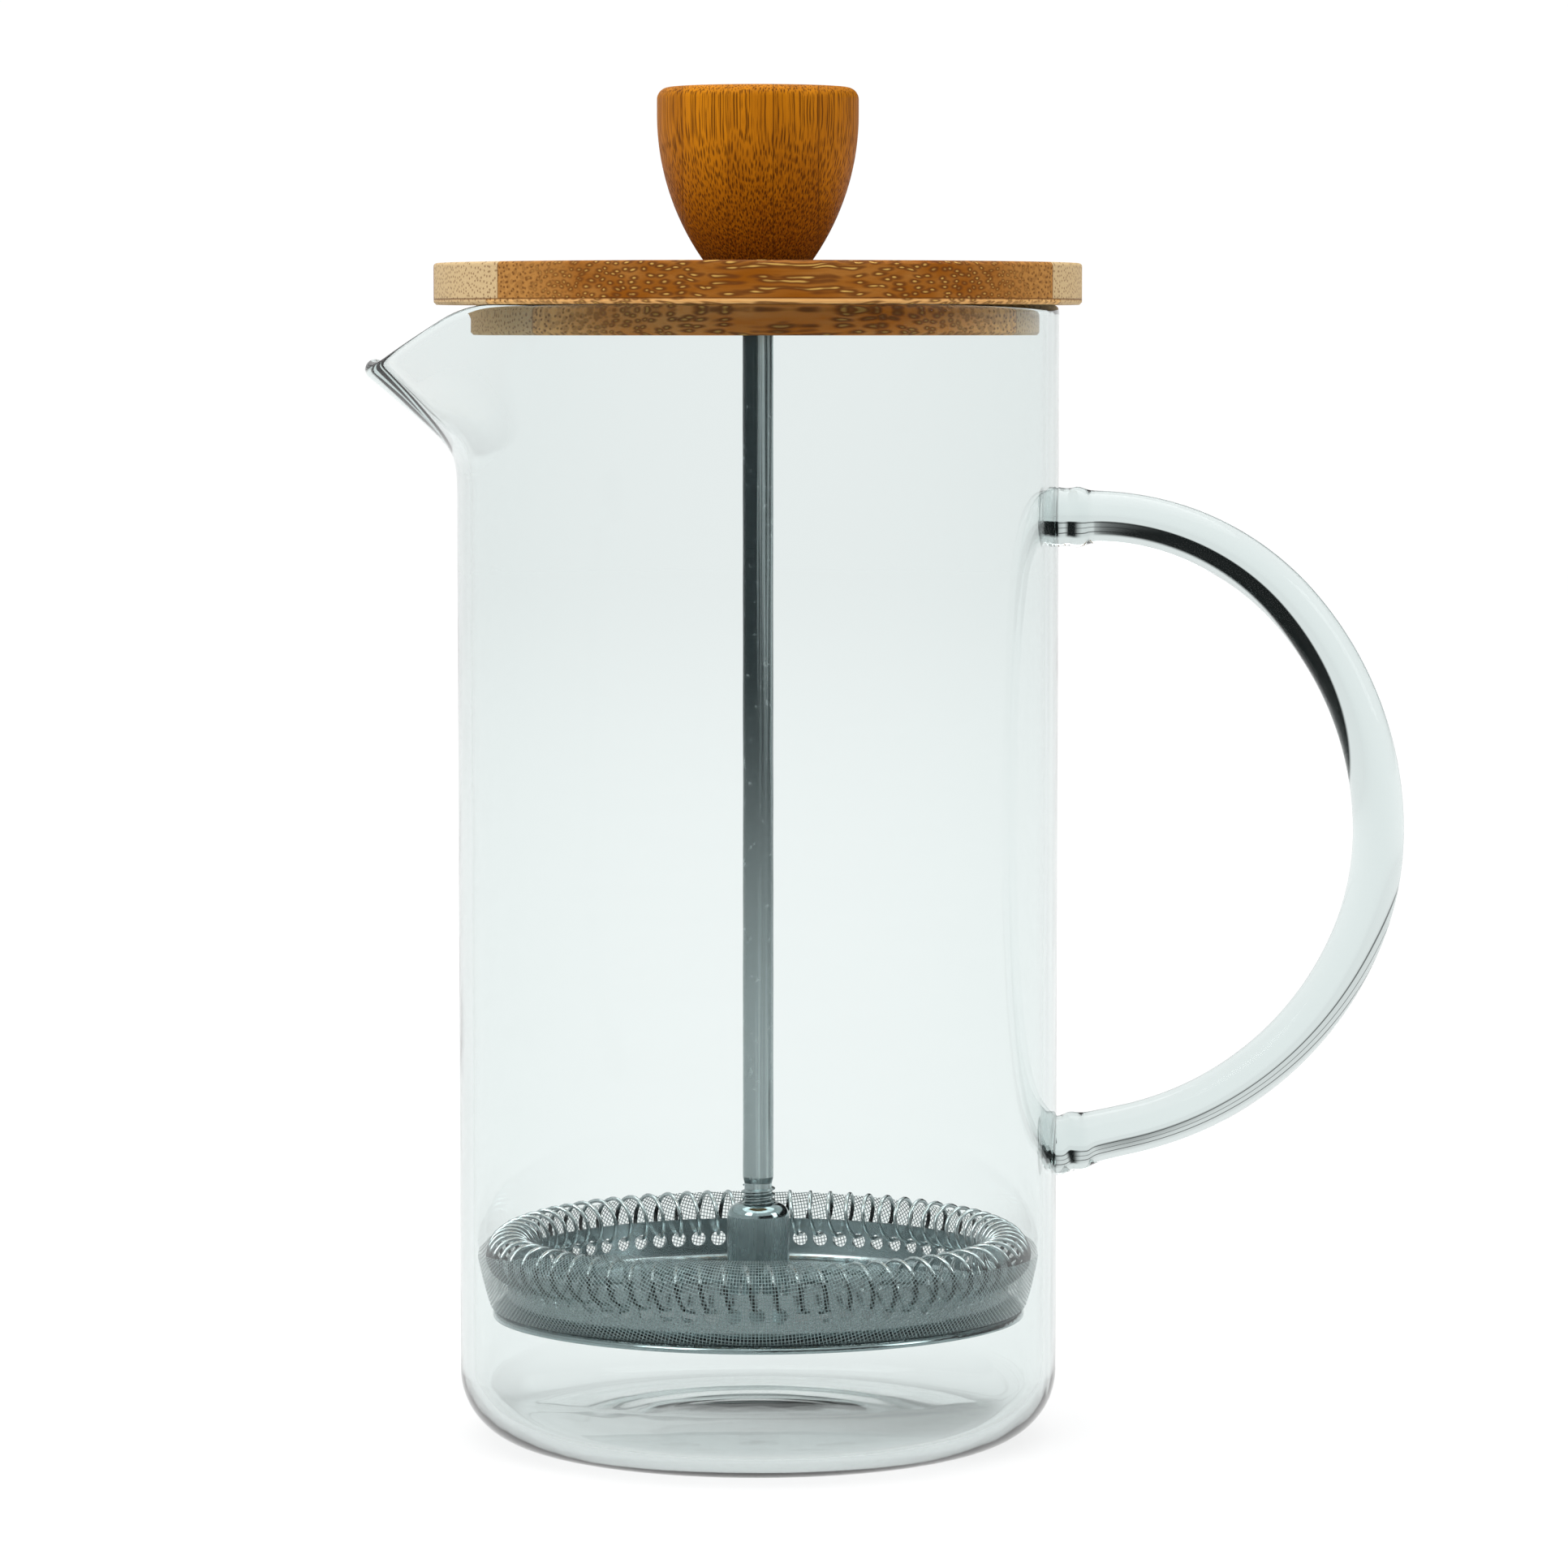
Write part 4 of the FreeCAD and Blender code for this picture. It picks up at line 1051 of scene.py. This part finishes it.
class PRESS_OT_turned_steel(bpy.types.Operator):
    """Give the rod, hub, nut, bush and insert their metal"""

    bl_idname = "press.turned_steel"
    bl_label = "Turned steel"

    def execute(self, context):
        settings = context.scene.press_steel
        around = (0.4, 0.4, 6.0)
        rod = streaked_paint(
            "drawn_rod_steel", settings, coarse=(0.85, 0.85, 0.006), fine=(7.0, 7.0, 0.03),
            seed=2.3, painted_reflection_below=(40.0, 95.0),
        )
        hub = steel_paint(
            "turned_hub_steel", settings.hub, streak=(2.4, 2.4, 0.06), rough=0.26,
            spread_rough=0.24, relief=0.02, polish_from=HUB_POLISH,
        )
        turned = steel_paint(
            "turned_steel", settings.steel, streak=around, rough=0.24, spread_rough=0.2, relief=0.03
        )
        brass = steel_paint(
            "turned_brass", settings.brass, streak=around, rough=0.28, spread_rough=0.2, relief=0.03
        )
        dress("rod", rod)
        dress("hub", hub)
        dress("base_nut", turned)
        dress("guide_bush", turned)
        dress("knob_insert", brass)
        return {"FINISHED"}


class PRESS_OT_plates(bpy.types.Operator):
    """Give the pressed plates of the filter their steel"""

    bl_idname = "press.plates"
    bl_label = "Pressed plates"

    def execute(self, context):
        settings = context.scene.press_steel
        plate = steel_paint(
            "pressed_plate_steel", settings.plate, streak=(2.2, 0.12, 0.12), rough=0.22,
            spread_rough=0.18, relief=0.02, shaded=PLATE_SHADE,
        )
        bright = steel_paint(
            "bright_plate_steel", settings.steel, streak=(0.25, 0.25, 5.0), rough=0.12,
            spread_rough=0.12, relief=0.02,
        )
        dress("spring_plate", plate)
        dress("cross_plate", bright)
        return {"FINISHED"}


class PRESS_OT_coil(bpy.types.Operator):
    """Wind the coil that presses the filter's edge against the glass"""

    bl_idname = "press.coil"
    bl_label = "Coil"

    def execute(self, context):
        settings = context.scene.press_steel
        wire = steel_paint(
            "spring_wire", settings.wire, streak=(3.0, 3.0, 3.0), rough=0.14,
            spread_rough=0.14, relief=0.015, shaded=COIL_SHADE,
        )
        coil = new_object("coil_spring_wound", coil_mesh(settings), wire)
        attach(coil, "plunger")
        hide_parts("coil_spring")
        return {"FINISHED"}


class PRESS_OT_filter(bpy.types.Operator):
    """Press the woven filter's cup"""

    bl_idname = "press.filter"
    bl_label = "Woven filter"

    def execute(self, context):
        settings = context.scene.press_steel
        cup = new_object("filter_mesh_woven", mesh_cup(settings), weave_paint(settings))
        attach(cup, "plunger")
        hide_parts("filter_mesh")
        return {"FINISHED"}


# The dark band of the room by its rise: where it begins and ends above the paper.
BAND_FROM, BAND_TO = (0.055, 0.085), (0.42, 0.54)
# The band is full at the right. At the left it is faint, with darker seams by rise and half width.
BAND_TURN = (-0.12, 0.12)
BAND_FAINT, SEAM_DEPTH = 0.12, 0.68
SEAMS = ((0.10, 0.012), (0.22, 0.008), (0.36, 0.016))

# The floor: its radius in metres, its gap below the solids, and the distances in millimetres
# between which it turns into the paper.
FLOOR_RADIUS, FLOOR_GAP, FLOOR_FADE = 6.0, 0.05 * MM, (500.0, 2500.0)

# Size, place and target of the soft lights in metres, and how soft the light from above is.
KEY_LIGHT = ((1.2, 1.2), (-1.5, -1.6, 2.0), (0.0, 0.0, 0.09))
FILL_LIGHT = ((0.8, 1.2), (2.2, -0.8, 1.2), (0.0, 0.0, 0.08))
OVERHEAD_SPREAD = math.radians(70)

SENSOR_WIDTH = 36.0
CLIP = (0.01, 50.0)


class PRESS_OT_stage(bpy.types.Operator):
    """Set the pale floor, the soft light and the camera"""

    bl_idname = "press.stage"
    bl_label = "Stage"

    def set_world(self, scene, settings):
        """White paper all round, with a dark band above it for the glass to show."""
        scene.world = bpy.data.worlds.new("studio")
        scene.world.use_nodes = True
        paint = Paint(scene.world.node_tree)
        way = paint.node("TexCoord", output="Generated")
        rise = paint.along(way, UP)
        band = paint.ease(rise, *BAND_FROM) * (1 - paint.ease(rise, *BAND_TO))
        right = paint.ease(paint.along(way, RIGHT), *BAND_TURN)
        seams = 0.0
        for seam, half in SEAMS:
            seams = seams + (1 - paint.ease(abs(rise - seam), half * 0.6, half * 1.4))
        side = right + (1 - right) * (BAND_FAINT + SEAM_DEPTH * seams)
        sky = paint.mix(band * side, settings.backdrop, settings.dark_band)
        backdrop = paint.node("Background", None, {"Color": sky, "Strength": settings.sky})
        paint.node("OutputWorld", None, {"Surface": backdrop})

    def floor_paint(self, settings):
        """A pale table top that turns into the paper far away."""
        material, paint = new_paint("pale_floor")
        grain = paint.noise(paint.place(), 0.02, 3.0)
        far = paint.ease(paint.distance(paint.place()), *FLOOR_FADE)
        shade = paint.mix(paint.ease(grain, 0.3, 0.7) * 0.015, settings.floor, BLACK)
        near = (settings.glow / settings.sky,) * 3
        paint.surface(
            Base_Color=paint.mix(far, shade, BLACK),
            Roughness=0.55 + grain * 0.1,
            Normal=paint.bump(grain, 0.05, 0.1),
            Emission_Color=paint.mix(far, near, settings.backdrop),
            Emission_Strength=settings.sky,
            Specular_IOR_Level=0.0,
        )
        return material

    def set_floor(self, settings):
        """A wide disc just below the object."""
        disc = bpy.data.meshes.new("floor_disc")
        work = bmesh.new()
        bmesh.ops.create_circle(work, cap_ends=True, segments=96, radius=FLOOR_RADIUS)
        work.to_mesh(disc)
        work.free()
        floor = new_object("floor", disc, self.floor_paint(settings))
        floor.location.z = CAD_BOX[0][2] - FLOOR_GAP

    def set_soft_light(self, scene, name, power, size, place, target):
        """A rectangular light that faces its target."""
        lamp = bpy.data.lights.new(name, "AREA")
        lamp.energy = power
        lamp.shape = "RECTANGLE"
        lamp.size, lamp.size_y = size
        made = bpy.data.objects.new(name, lamp)
        made.location = place
        way = Vector(target) - Vector(place)
        made.rotation_euler = way.to_track_quat("-Z", "Y").to_euler()
        scene.collection.objects.link(made)

    def set_overhead_light(self, scene, settings):
        """A wide light from straight above."""
        sun = bpy.data.lights.new("overhead_light", "SUN")
        sun.energy = settings.overhead
        sun.angle = OVERHEAD_SPREAD
        overhead = bpy.data.objects.new("overhead_light", sun)
        overhead.location = UP
        scene.collection.objects.link(overhead)

    def set_camera(self, scene, settings):
        """The camera in front of the object, tilted down a little."""
        lens = bpy.data.cameras.new("camera")
        lens.lens = settings.lens
        lens.sensor_width = SENSOR_WIDTH
        lens.clip_start, lens.clip_end = CLIP
        camera = bpy.data.objects.new("camera", lens)
        camera.location = (settings.sideways, -settings.distance, settings.level)
        camera.rotation_euler = (math.pi / 2 - settings.tilt, 0.0, 0.0)
        scene.collection.objects.link(camera)
        scene.camera = camera

    def execute(self, context):
        scene, settings = context.scene, context.scene.press_stage
        scene.view_settings.view_transform = "Standard"
        scene.view_settings.look = "None"
        self.set_world(scene, settings)
        self.set_floor(settings)
        self.set_soft_light(scene, "key_light", settings.key, *KEY_LIGHT)
        self.set_soft_light(scene, "fill_light", settings.fill, *FILL_LIGHT)
        self.set_overhead_light(scene, settings)
        self.set_camera(scene, settings)
        return {"FINISHED"}


class PRESS_PT_panel(bpy.types.Panel):
    """Lists the pieces of the tea press"""

    bl_idname = "PRESS_PT_panel"
    bl_label = "Tea Press"
    bl_space_type = "VIEW_3D"
    bl_region_type = "UI"
    bl_category = "Tea Press"

    def draw(self, context):
        for operator in OPERATORS:
            self.layout.operator(operator.bl_idname)
        for name in GROUPS:
            box = self.layout.box()
            group = getattr(context.scene, name)
            for key in group.__annotations__:
                box.prop(group, key)


GROUPS = {
    "press_glass": PressGlassSettings,
    "press_bamboo": PressBambooSettings,
    "press_steel": PressSteelSettings,
    "press_stage": PressStageSettings,
}
OPERATORS = (
    PRESS_OT_glass, PRESS_OT_bamboo, PRESS_OT_turned_steel, PRESS_OT_plates,
    PRESS_OT_coil, PRESS_OT_filter, PRESS_OT_stage,
)


def register():
    """Adds the settings, operators and panel."""
    for made in (*GROUPS.values(), *OPERATORS, PRESS_PT_panel):
        bpy.utils.register_class(made)
    for name, group in GROUPS.items():
        setattr(bpy.types.Scene, name, PointerProperty(type=group))


def unregister():
    """Takes the settings, operators and panel away."""
    for name in GROUPS:
        delattr(bpy.types.Scene, name)
    for made in reversed((*GROUPS.values(), *OPERATORS, PRESS_PT_panel)):
        bpy.utils.unregister_class(made)


def main():
    """Builds every piece."""
    register()
    bpy.ops.press.glass()
    bpy.ops.press.bamboo()
    bpy.ops.press.turned_steel()
    bpy.ops.press.plates()
    bpy.ops.press.coil()
    bpy.ops.press.filter()
    bpy.ops.press.stage()


if __name__ == "__main__":
    main()
